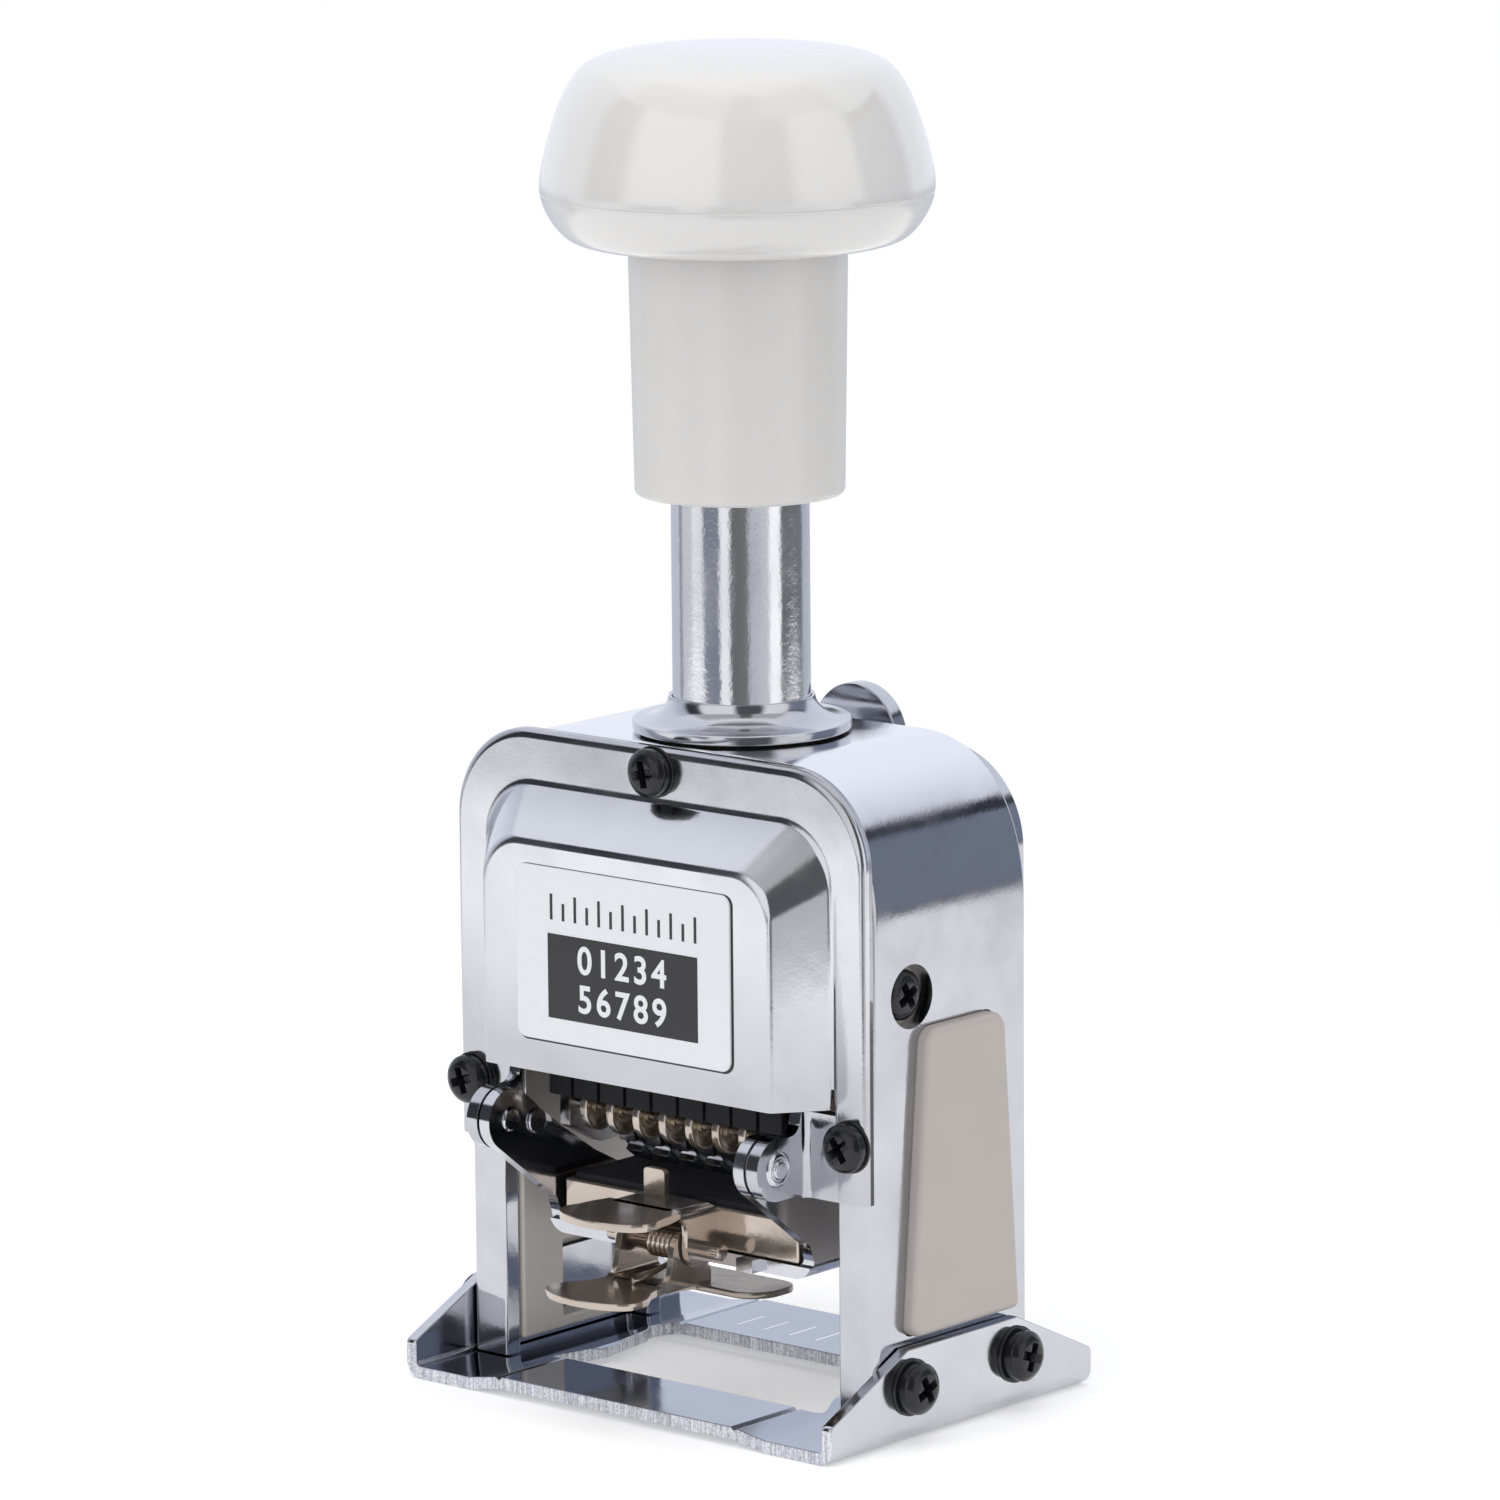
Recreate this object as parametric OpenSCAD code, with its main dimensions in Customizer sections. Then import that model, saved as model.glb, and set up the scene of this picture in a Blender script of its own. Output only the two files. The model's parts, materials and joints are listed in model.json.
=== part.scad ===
// Hand numbering machine: a sprung plunger prints seven figure wheels, and an
// ink pad under the wheels swings out forward as the plunger comes down.
// Front is -Y, up is +Z, and the foot rests on Z = 0. Millimetres.

/* [Housing] */
// Width of the sheet-metal housing
body_w = 61; // [60:0.5:72]
// Depth of the housing, front face to rear face
body_d = 27.2; // [27.2:0.2:30]
// Height of the housing's top above the desk
body_top = 76.7; // [75:0.1:82]
// Outer radius of the housing's top corners
body_corner_r = 13.8; // [10:0.2:15]
// Thickness of the housing sheet
housing_t = 2.4; // [1.8:0.1:2.6]
// Thickness of the front and rear cover sheet
cover_t = 1.6; // [1.2:0.1:1.8]
// How far the front cover's raised field stands out
emboss_h = 5.6; // [5:0.1:6.5]

/* [Foot] */
// Depth of the foot plate
foot_d = 46.6; // [44:0.2:56]
// Thickness of the foot plate sheet
foot_t = 1.5; // [1.2:0.1:2]
// Height of the foot plate's side skirts
skirt_h = 10.8; // [9:0.1:11.5]
// Rise of the plate's middle above the desk
foot_rise = 0.8; // [0.4:0.1:1]

/* [Handle] */
// Travel of the plunger
stroke = 24; // [22:0.5:25]
// Diameter of the steel stem
stem_d = 15.8; // [14:0.1:16.2]
// Diameter of the sleeve at its upper end
sleeve_d = 24.92; // [24.5:0.1:28]
// Length of the sleeve under the knob
sleeve_len = 28.2; // [24:0.1:36]
// Largest diameter of the knob
knob_d = 44.8; // [40:0.2:50]
// Height of the knob
knob_h = 22.8; // [20.4:0.1:26]

/* [Figure wheels] */
// Distance from one wheel to the next
wheel_pitch = 4; // [3.7:0.05:4.1]
// Diameter of a wheel over its type
wheel_d = 12.4; // [12:0.1:12.6]
// Diameter of the wheel axle
axle_d = 4; // [3.2:0.1:4.4]

/* [Ink pad] */
// Depth of the pad holder's floor, front to back
pad_d = 16.8; // [16:0.1:17]
// Half width of the pinch lugs
lug_half_w = 6.6; // [5.9:0.1:8]

/* [Hidden] */

$fn = 64;
hull_fn = 32;
eps = 0.01;

// Fits, all radial or per side
run_fit = 0.08;    // a shaft that turns or slides in its bore
seat_fit = 0.03;   // a pin held fast in its hole
screw_fit = 0.15;  // a screw's shank in a plain hole
slip_fit = 0.2;    // flat faces that pass each other
lay_gap = 0.05;    // parts that lie on one another

// Housing
body_hw = body_w / 2;
front_y = -body_d / 2;
rear_y = body_d / 2;
foot_floor_z = foot_t + 0.15;
inner_hw = body_hw - housing_t;
inner_top = body_top - housing_t;
inner_r = body_corner_r - housing_t;
flange_w = 5.3;
rear_flange_w = 7.4;

// Figure wheels, with their type at rest one stroke above the print plane
wheel_count = 7;
print_z = 0.7;
wheel_r = wheel_d / 2;
wheel_y = -1.1;
wheel_z = print_z + stroke + wheel_r;
wheel_w = wheel_pitch - 0.6;
drum_r = wheel_r - 0.7;
axle_r = axle_d / 2;
row_hw = wheel_count * wheel_pitch / 2;

// Layers outward from the wheel row: side plate, pad arm, cover ear
plate_t = 1.5;
plate_in = row_hw + 2.2;
plate_out = plate_in + plate_t;
arm_t = 1.5;
arm_in = plate_out + 0.7;
arm_out = arm_in + arm_t;
ear_in = arm_out + 0.4;
ear_out = ear_in + cover_t;

// Inner face of the side guides, set in the room between carriage and wall
guide_share = 0.673;
guide_in = plate_out + (inner_hw - plate_out) * guide_share;

// Front cover
cover_y = front_y - cover_t;
face_y = cover_y - emboss_h;
cover_corner_r = 11;
pivot_y = front_y - 6.4;
pivot_z = wheel_z + 1.1;
pivot_r = 3.65;
pivot_pin_r = 1.4;
strip_z = pivot_z - 4;
emboss_z = pivot_z + 6.5;
emboss_foot_hw = min(ear_out + 4.1, body_hw - 4.2);
emboss_slope = 4.9;
emboss_face_hw = emboss_foot_hw - emboss_slope;
emboss_foot_top = body_top - 5.8;
emboss_face_top = emboss_foot_top - 5.7;
ear_screw_x = body_hw - 2.1;
ear_screw_z = pivot_z + 2.7;
top_screw_z = body_top - 2.7;

// Label plate
label_hw = 16;
label_t = 0.4;
label_r = 1.3;
label_z0 = emboss_z + 3.9;
label_z1 = emboss_face_top - 2.6;

// Rear cover and its selector
rear_inset = 1.6;
rear_screw_x = body_hw - 4.5;
rear_head_r = 2.4;
rear_head_h = 0.6;
rear_top_screw_z = body_top - 4.4;
rear_cover_y = rear_y + cover_t;
rear_emboss_h = 2;
rear_face_y = rear_cover_y + rear_emboss_h;
rear_emboss_hw = 21;
rear_emboss_z0 = pivot_z + 8;
rear_emboss_z1 = body_top - 10.7;
selector_z = body_top - 18.7;
selector_t = 2.2;
selector_y = rear_face_y + slip_fit;
selector_len = 15.74;
selector_lean = 7.7;
selector_tab_r = 6.2;
selector_bore_r = 1.6;
selector_back = 20;
selector_on = 5;
stud_r = 1.2;
stud_reach = 8.5;

// Foot
foot_hw = body_hw + slip_fit + foot_t;
foot_hd = foot_d / 2;
bend_r = foot_t + 0.5;
raise_hw = plate_out + 0.1;
ramp_hw = raise_hw + 4.7;
skirt_low = 4.5;
skirt_hd = 9.6;
window_hw = ramp_hw - 2.1;
window_y0 = -12;
window_y1 = 8.8;
tongue_hw = plate_out - 0.3;
tongue_y = -4.7;
foot_screw_y = 9.4;
foot_screw_z = 6.5;
screw_r = 1.5;
head_r = 2.95;
head_h = 2.1;
washer_t = 0.4;
washer_r = 3.3;

// Side guides
guide_z0 = 3.2;
guide_top = 56;
guide_hd = rear_y - housing_t - slip_fit;
guide_out = body_hw + 1.8;
plate_z0 = skirt_h + 1.4;
plate_z1 = 47.4;
plate_hd0 = guide_hd - 0.3;
plate_hd1 = guide_hd - 3.6;
guide_screw_y = -6.8;
guide_screw_z = 50.7;
guide_screw_hole_r = 3.65;
guide_screw_len = inner_hw - guide_in - 1.2;
foot_screw_len = foot_hw + washer_t - guide_in - 1.4;

// Stem, collar and nut
stem_r = stem_d / 2;
bush_bore_r = stem_r + run_fit;
bush_r = bush_bore_r + 1.4;
collar_r = 12.57;
collar_z = body_top + 0.3;
collar_rim_t = 1.1;
seat_z = body_top + 2;
bush_z = body_top - 10.2;
nut_r = guide_hd;
hanger_t = 1.4;
nut_h = 3;

// Plunger
sleeve_gap = 1.3;
sleeve_z = seat_z + stroke + sleeve_gap;
knob_z = sleeve_z + sleeve_len;
knob_r = knob_d / 2;
seam_z = knob_z + 6.3;
sleeve_r = sleeve_d / 2;
sleeve_r0 = sleeve_r - 0.5;
sleeve_edge_r = 1.1;
sleeve_web = 3;
stem_top = knob_z - sleeve_web;
buffer_t = 1;
carriage_top = bush_z - buffer_t - 0.1;
carriage_t = 2.5;
carriage_rear = guide_hd - 1.5;
carriage_z = carriage_top - carriage_t;
stem_nut_h = 3.5;
stem_z = carriage_z - stem_nut_h - 0.7;
knob_screw_r = 2.95;
knob_screw_z = knob_z + 3.5;
knob_screw_grip = 10;

// Carriage and the parts it carries
rod_y = 7.4;
rod_z = wheel_z + 7.7;
rod_r = 1.2;
rod_end_r = 0.9;
crossbar_y = -13.4;
crossbar_z = wheel_z + 20.6;
crossbar_h = 2.5;
comb_t = 0.8;
comb_z = wheel_z + 3.3;
comb_top = crossbar_z + crossbar_h;
comb_slot_w = 0.5;
comb_slot_top = wheel_z + 14;
comb_hw = plate_out - 0.2;
comb_screw_x = 10;
detent_y = -10.3;
detent_z = wheel_z + 1.7;
detent_rod_r = 0.6;
detent_r = 2.8;
detent_rim_w = 1.1;
clip_t = 0.4;

// Return springs
spring_x = plate_out + 2.6;
wire_r = 0.4;
coil_r = 1.8;
hook_inner_r = coil_r - wire_r;
spring_turns = 34;
hanger_z = body_top - 7.2;
hanger_pin_r = 0.9;
spring_low = rod_z + (hook_inner_r - rod_end_r);
spring_high = hanger_z - (hook_inner_r - hanger_pin_r);

// Pad holder, tray and pinch clip, set from the wheels they ink
pad_top = wheel_z - wheel_r - 0.3;
floor_z = pad_top - 7.2;
holder_t = 1.5;
holder_rear = 4.8;
holder_front = holder_rear - pad_d;
tray_t = 0.8;
tray_hw = arm_in - 0.75;
tray_z = floor_z + holder_t + lay_gap;
tray_front = holder_front + 0.4;
tray_rear = holder_rear;
tray_top = pad_top - 0.7;
lug_z = tray_top - 0.3;
lug_t = 0.9;
lug_front = -27.5;
clip_y = -14;
clip_z = floor_z + 2;
clip_pin_r = 0.95;
clip_ear_r = 2.1;
clip_ear_y = clip_y - 0.4;
clip_ear_t = 0.8;
tray_ear_x = 4.7;
lever_ear_x = 3.6;
lever_lug_z = floor_z - 2.4;
lever_lug_front = -30;
lever_t = 0.8;

// The plan's centre: half way from the lower lug's front to the foot's rear edge
plan_shift = -(lever_lug_front + foot_hd) / 2;

// ---------------------------------------------------------------- helpers

// Moves a part from the housing's centre line to the plan's centre
module placed() {
  translate([0, plan_shift, 0]) children();
}

// Extrudes an outline drawn in (Y, Z) from x0 to x1
module along_x(x0, x1) {
  translate([x0, 0, 0]) rotate([90, 0, 90]) linear_extrude(x1 - x0) children();
}

// Extrudes an outline drawn in (X, Z) from y0 to y1
module along_y(y0, y1) {
  translate([0, y1, 0]) rotate([90, 0, 0]) linear_extrude(y1 - y0) children();
}

// A shape and its mirror image across the YZ plane
module both_sides() {
  children();
  mirror([1, 0, 0]) children();
}

// A rod along X from x0 to x1 at (y, z)
module rod_along_x(r, x0, x1, y, z) {
  translate([x0, y, z]) rotate([0, 90, 0]) cylinder(r = r, h = x1 - x0);
}

// A rod along Y from y0 to y1 at (x, z)
module rod_along_y(r, y0, y1, x, z) {
  translate([x, y0, z]) rotate([-90, 0, 0]) cylinder(r = r, h = y1 - y0);
}

// Rectangle from (x0, y0) to (x1, y1) with round corners
module round_rect(x0, x1, y0, y1, r) {
  translate([x0 + r, y0]) square([x1 - x0 - 2 * r, y1 - y0]);
  translate([x0, y0 + r]) square([x1 - x0, y1 - y0 - 2 * r]);
  for (x = [x0 + r, x1 - r], y = [y0 + r, y1 - r]) translate([x, y]) circle(r);
}

// Door shape: straight sides, round upper corners
module arch(hw, z0, z1, r) {
  translate([-hw, z0]) square([2 * hw, z1 - r - z0]);
  translate([-hw + r, z0]) square([2 * (hw - r), z1 - z0]);
  for (x = [-hw + r, hw - r]) translate([x, z1 - r]) circle(r);
}

// Point where a line from p touches a circle of radius r at c; side is 1 or -1
function touch_point(c, r, p, side) =
  let (d = c - p, dist = norm(d), a = atan2(d[1], d[0]) + side * asin(r / dist))
  p + sqrt(dist * dist - r * r) * [cos(a), sin(a)];

// Points of an ellipse's arc about (cx, cy), semi-axes a and b, from angle t0 to t1
function arc_points(cx, cy, a, b, t0, t1, steps) =
  [for (i = [0:steps]) let (t = t0 + (t1 - t0) * i / steps) [cx + a * cos(t), cy + b * sin(t)]];

// Domed screw along +Z: head on z = 0, shank below it
module screw(shank_r, shank_len, cap_r, cap_h) {
  slot_w = cap_r * 0.32;
  slot_len = cap_r * 1.25;
  rim_h = cap_h * 0.45;
  difference() {
    union() {
      translate([0, 0, -shank_len]) cylinder(r = shank_r, h = shank_len + eps);
      cylinder(r = cap_r, h = rim_h);
      translate([0, 0, rim_h - eps]) cylinder(r1 = cap_r, r2 = cap_r * 0.68, h = cap_h - rim_h + eps);
    }
    for (a = [0, 90]) rotate([0, 0, a])
      translate([-slot_len / 2, -slot_w / 2, cap_h * 0.4]) cube([slot_len, slot_w, cap_h]);
  }
}

// A screw whose head faces -Y, +Y or +X at the given point
module screw_front(p, shank_r, shank_len, cap_r, cap_h) {
  translate(p) rotate([90, 0, 0]) screw(shank_r, shank_len, cap_r, cap_h);
}

module screw_rear(p, shank_r, shank_len, cap_r, cap_h) {
  translate(p) rotate([-90, 0, 0]) screw(shank_r, shank_len, cap_r, cap_h);
}

module screw_side(p, shank_r, shank_len, cap_r, cap_h) {
  translate(p) rotate([0, 90, 0]) screw(shank_r, shank_len, cap_r, cap_h);
}

// ---------------------------------------------------------------- foot

// Section of the foot: raised middle, ramps, round bends, upright skirts
module foot_section() {
  edge = foot_hw - bend_r;
  polygon([
    [-edge, 0], [-ramp_hw, 0], [-raise_hw, foot_rise], [raise_hw, foot_rise], [ramp_hw, 0], [edge, 0],
    [edge, foot_t], [ramp_hw, foot_t], [raise_hw, foot_t + foot_rise],
    [-raise_hw, foot_t + foot_rise], [-ramp_hw, foot_t], [-edge, foot_t]
  ]);
  for (s = [-1, 1]) {
    translate([s * (foot_hw - foot_t / 2) - foot_t / 2, bend_r]) square([foot_t, skirt_h - bend_r]);
    intersection() {
      translate([s * edge, bend_r]) difference() {
        circle(bend_r);
        circle(bend_r - foot_t);
      }
      translate([s > 0 ? edge : -foot_hw, 0]) square(bend_r);
    }
  }
}

// Side view of the foot, which trims its skirts
module foot_profile() {
  polygon([
    [-foot_hd, -1], [foot_hd, -1], [foot_hd, skirt_low],
    [skirt_hd, skirt_h + eps], [-skirt_hd, skirt_h + eps], [-foot_hd, skirt_low]
  ]);
}

// Opening that the wheels print through, with a blunt tongue at each side
module foot_window() {
  for (s = [-1, 1]) scale([s, 1]) polygon([
    [-eps, window_y0], [window_hw - 1.8, window_y0], [window_hw - 0.5, window_y0 + 0.5],
    [window_hw, window_y0 + 1.3], [window_hw - 0.3, window_y0 + 2.2], [tongue_hw, tongue_y],
    [window_hw - 0.8, -tongue_y], [window_hw + 0.5, window_y1 - 2.2], [window_hw + 0.2, window_y1 - 0.8],
    [window_hw - 0.9, window_y1], [-eps, window_y1]
  ]);
}

module foot_plate() {
  tick_w = 0.4;
  tick_depth = 0.25;
  tick_len = 4.8;
  tick_y = window_y1 + 3.3;
  placed() color("gainsboro") difference() {
    intersection() {
      along_y(-foot_hd, foot_hd) foot_section();
      along_x(-foot_hw - 1, foot_hw + 1) foot_profile();
    }
    translate([0, 0, -1]) linear_extrude(foot_t + foot_rise + 2) foot_window();
    for (s = [-1, 1], y = [-foot_screw_y, foot_screw_y])
      rod_along_x(screw_r + screw_fit, s * foot_hw - 3, s * foot_hw + 3, y, foot_screw_z);
    for (i = [0:wheel_count - 1])
      translate([(i - 3) * wheel_pitch - tick_w / 2, tick_y, foot_t + foot_rise - tick_depth])
        cube([tick_w, tick_len, 1]);
  }
}

module foot_screws() {
  placed() color("dimgray") both_sides()
    for (y = [-foot_screw_y, foot_screw_y])
      screw_side([foot_hw + washer_t, y, foot_screw_z], screw_r, foot_screw_len, head_r, head_h);
}

module foot_washers() {
  placed() color("black") both_sides()
    for (y = [-foot_screw_y, foot_screw_y]) difference() {
      rod_along_x(washer_r, foot_hw, foot_hw + washer_t, y, foot_screw_z);
      rod_along_x(screw_r + seat_fit, foot_hw - 1, foot_hw + 1, y, foot_screw_z);
    }
}

// ---------------------------------------------------------------- housing

// Outline of a side guide's outer plate, drawn in (Y, Z)
module plate_outline(grow) {
  polygon([
    [-plate_hd0 - grow, plate_z0 - grow], [plate_hd0 + grow, plate_z0 - grow],
    [plate_hd1 + grow, plate_z1 + grow], [-plate_hd1 - grow, plate_z1 + grow]
  ]);
}

// Flange of width w bent inward from the housing's wall, its outer face at y
module flange(y, w) {
  along_y(y, y + housing_t) difference() {
    arch(body_hw, foot_floor_z, body_top, body_corner_r);
    arch(body_hw - w, 0, body_top - w, body_corner_r - w);
  }
}

module housing_frame() {
  placed() color("silver") difference() {
    union() {
      along_y(front_y, rear_y) difference() {
        arch(body_hw, foot_floor_z, body_top, body_corner_r);
        arch(inner_hw, 0, inner_top, inner_r);
      }
      flange(front_y, flange_w);
      flange(rear_y - housing_t, rear_flange_w);
    }
    translate([0, 0, inner_top - 1]) cylinder(r = bush_r + seat_fit, h = housing_t + 2);
    for (s = [-1, 1]) {
      x = s * body_hw;
      along_x(x - 3, x + 3) plate_outline(lay_gap);
      rod_along_x(guide_screw_hole_r, x - 3, x + 3, guide_screw_y, guide_screw_z);
      for (y = [-foot_screw_y, foot_screw_y])
        rod_along_x(screw_r + seat_fit, x - 3, x + 3, y, foot_screw_z);
      rod_along_y(screw_r + seat_fit, front_y - 1, front_y + 4, s * ear_screw_x, ear_screw_z);
      rod_along_y(screw_r + seat_fit, rear_y - 4, rear_y + 1, s * rear_screw_x, ear_screw_z);
    }
    rod_along_y(screw_r + seat_fit, front_y - 1, front_y + 4, 0, top_screw_z);
    rod_along_y(screw_r + seat_fit, rear_y - 4, rear_y + 1, 0, rear_top_screw_z);
  }
}

// Front cover's raised field as a solid, shrunk all round by inset
module emboss_block(inset) {
  r0 = 7.5 - inset;
  r1 = 5 - inset;
  low = inset > 0 ? emboss_z - 1 : emboss_z;
  hull() {
    along_y(cover_y - eps + inset, cover_y + inset)
      arch(emboss_foot_hw - inset, low, emboss_foot_top - inset, r0, $fn = hull_fn);
    along_y(face_y + inset, face_y + inset + eps)
      arch(emboss_face_hw - inset, low, emboss_face_top - inset, r1, $fn = hull_fn);
  }
}

module front_cover() {
  slit_w = 0.9;
  slit_h = 2.4;
  placed() color("silver") difference() {
    union() {
      along_y(cover_y, front_y) difference() {
        arch(body_hw, strip_z, body_top, cover_corner_r);
        translate([-ear_out, 0]) square([2 * ear_out, emboss_z]);
      }
      emboss_block(0);
      both_sides() along_x(ear_in, ear_out) {
        translate([pivot_y, pivot_z]) circle(pivot_r);
        translate([pivot_y, pivot_z - pivot_r]) square([front_y - pivot_y, 2 * pivot_r]);
      }
    }
    emboss_block(cover_t);
    along_y(cover_y - eps, front_y + 1)
      arch(emboss_foot_hw - cover_t, emboss_z - 1, emboss_foot_top - cover_t, 7.5 - cover_t);
    both_sides() {
      translate([emboss_foot_hw, cover_y - 1, emboss_z - 1]) cube([slit_w, cover_t + 2, slit_h + 1]);
      rod_along_x(pivot_pin_r + seat_fit, ear_in - 1, ear_out + 1, pivot_y, pivot_z);
      rod_along_y(screw_r + screw_fit, cover_y - 1, front_y + 1, ear_screw_x, ear_screw_z);
    }
    rod_along_y(screw_r + screw_fit, cover_y - 1, front_y + 1, 0, top_screw_z);
  }
}

module front_cover_screws() {
  placed() color("black") {
    for (x = [-ear_screw_x, ear_screw_x])
      screw_front([x, cover_y, ear_screw_z], screw_r, cover_t + housing_t, 2.8, 1.9);
    screw_front([0, cover_y, top_screw_z], screw_r, cover_t + housing_t, 2.7, 1.9);
  }
}

module label_plate() {
  placed() color("white") along_y(face_y - label_t, face_y)
    round_rect(-label_hw, label_hw, label_z0, label_z1, label_r);
}

module rear_cover() {
  placed() color("silver") difference() {
    union() {
      along_y(rear_y, rear_cover_y)
        arch(body_hw - rear_inset, strip_z, body_top - rear_inset, cover_corner_r);
      along_y(rear_cover_y - eps, rear_face_y)
        round_rect(-rear_emboss_hw, rear_emboss_hw, rear_emboss_z0, rear_emboss_z1, 5);
    }
    along_y(rear_y - 1, rear_cover_y + rear_emboss_h - cover_t) round_rect(
      cover_t - rear_emboss_hw, rear_emboss_hw - cover_t,
      rear_emboss_z0 + cover_t, rear_emboss_z1 - cover_t, 5 - cover_t);
    rod_along_y(selector_bore_r + seat_fit, rear_y - 1, rear_face_y + 1, 0, selector_z);
    for (x = [-rear_screw_x, rear_screw_x])
      rod_along_y(screw_r + screw_fit, rear_y - 1, rear_cover_y + 1, x, ear_screw_z);
    rod_along_y(screw_r + screw_fit, rear_y - 1, rear_cover_y + 1, 0, rear_top_screw_z);
    along_y(rear_y - 1, rear_face_y + 1) selector_slot();
  }
}

// Arc slot that the selector's stud runs in
module selector_slot() {
  inner = stud_reach - stud_r - 0.3;
  outer = stud_reach + stud_r + 0.3;
  start = 270 - selector_lean - selector_on - 10;
  end = 270 - selector_lean + selector_back + 10;
  translate([0, selector_z]) polygon(concat(
    arc_points(0, 0, outer, outer, start, end, 12),
    arc_points(0, 0, inner, inner, end, start, 12)
  ));
}

module rear_cover_screws() {
  at = [[-rear_screw_x, ear_screw_z], [rear_screw_x, ear_screw_z], [0, rear_top_screw_z]];
  placed() color("black") for (p = at)
    screw_rear([p[0], rear_cover_y, p[1]], screw_r, cover_t + housing_t, rear_head_r, rear_head_h);
}

module selector_lever() {
  arm_hw = 2.6;
  boss_r = 4;
  placed() color("silver") translate([0, 0, selector_z]) rotate([0, selector_lean, 0]) {
    difference() {
      along_y(selector_y, selector_y + selector_t) {
        circle(boss_r);
        translate([-arm_hw, -stud_reach]) square([2 * arm_hw, stud_reach + selector_len]);
        translate([0, -stud_reach]) circle(arm_hw);
        translate([0, selector_len]) circle(selector_tab_r);
      }
      rod_along_y(selector_bore_r + run_fit, selector_y - 1, selector_y + selector_t + 1, 0, 0);
    }
    rod_along_y(stud_r, rear_face_y - cover_t, selector_y + eps, 0, -stud_reach);
  }
}

module selector_screw() {
  placed() color("black")
    screw_rear([0, selector_y + selector_t + slip_fit, selector_z], selector_bore_r, 6, 2.9, 1);
}

// ---------------------------------------------------------------- side guides

// Right-hand guide: slide block, open low at the rear, and a plate in the wall's window
module side_guide() {
  bevel = 0.6;
  recess_y = -4.1;
  recess_z0 = guide_z0 + 1.4;
  recess_z1 = guide_z0 + 10.5;
  difference() {
    union() {
      along_x(guide_in, inner_hw - lay_gap) translate([-guide_hd, guide_z0])
        square([2 * guide_hd, guide_top - guide_z0]);
      along_x(inner_hw - lay_gap - eps, guide_out - bevel) plate_outline(0);
      hull() {
        along_x(guide_out - bevel - eps, guide_out - bevel) plate_outline(0);
        along_x(guide_out - eps, guide_out) plate_outline(-bevel);
      }
    }
    translate([guide_in - 1, recess_y, recess_z0])
      cube([inner_hw - lay_gap - guide_in + 1, guide_hd + 5, recess_z1 - recess_z0]);
    rod_along_x(1.3 + seat_fit, guide_in + 1, inner_hw + 1, guide_screw_y, guide_screw_z);
    for (y = [-foot_screw_y, foot_screw_y])
      rod_along_x(screw_r + screw_fit, guide_in + 1, inner_hw + 1, y, foot_screw_z);
  }
}

module side_guide_right() {
  placed() color("wheat") side_guide();
}

module side_guide_left() {
  placed() color("wheat") mirror([1, 0, 0]) side_guide();
}

module side_guide_screws() {
  placed() color("black") both_sides()
    screw_side([inner_hw, guide_screw_y, guide_screw_z], 1.3, guide_screw_len, 2.9, 1.9);
}

// ---------------------------------------------------------------- collar and springs

module collar() {
  rim_top = collar_z + collar_rim_t;
  cone_top = rim_top + 2.7;
  placed() color("silver") rotate_extrude() polygon(concat(
    [[bush_bore_r, bush_z], [bush_r, bush_z], [bush_r, collar_z], [collar_r, collar_z]],
    [[collar_r, rim_top - 0.2], [collar_r - 0.27, rim_top]],
    arc_points(collar_r - 0.27, cone_top, collar_r - 0.27 - bush_bore_r - 0.35, 2.7, 270, 180, 10),
    [[bush_bore_r, cone_top]]
  ));
}

module ring(r_in, r_out, z0, z1) {
  translate([0, 0, z0]) difference() {
    cylinder(r = r_out, h = z1 - z0);
    translate([0, 0, -1]) cylinder(r = r_in, h = z1 - z0 + 2);
  }
}

module collar_washer() {
  placed() color("black") ring(bush_r + seat_fit, collar_r - 0.9, body_top, collar_z);
}

module collar_nut() {
  top = inner_top - hanger_t;
  placed() color("silver") difference() {
    ring(bush_r + seat_fit, nut_r, top - nut_h, top);
    for (a = [0, 90]) rotate([0, 0, a])
      translate([-nut_r - 1, -1, top - nut_h - 1]) cube([2 * nut_r + 2, 2, 2.2]);
  }
}

module spring_hanger() {
  strap_hw = plate_in;
  strap_hd = nut_r - 0.5;
  placed() color("silver") difference() {
    union() {
      translate([-strap_hw, 2 - strap_hd, inner_top - hanger_t])
        cube([2 * strap_hw, 2 * strap_hd - 2, hanger_t]);
      both_sides() {
        translate([strap_hw - hanger_t, rod_y - 2, hanger_z - 1.5])
          cube([hanger_t, 4, inner_top - hanger_z + 1.5]);
        rod_along_x(hanger_pin_r, strap_hw - eps, spring_x + 2.2, rod_y, hanger_z);
      }
    }
    translate([0, 0, inner_top - hanger_t - 1]) cylinder(r = bush_r + seat_fit, h = hanger_t + 2);
  }
}

// Close-wound coil between two open hooks
module return_spring(x) {
  low = spring_low + 1;
  pitch = (spring_high - 1 - low) / (spring_turns - 1);
  translate([x, rod_y, 0]) {
    for (z = [spring_low, spring_high]) translate([0, 0, z]) rotate([0, 90, 0])
      rotate_extrude() translate([coil_r, 0]) circle(wire_r, $fn = 24);
    rotate_extrude() for (i = [0:spring_turns - 1])
      translate([coil_r, low + i * pitch]) circle(wire_r, $fn = 24);
  }
}

module return_spring_left() {
  placed() color("lightgray") return_spring(-spring_x);
}

module return_spring_right() {
  placed() color("lightgray") return_spring(spring_x);
}

// ---------------------------------------------------------------- plunger

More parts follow.
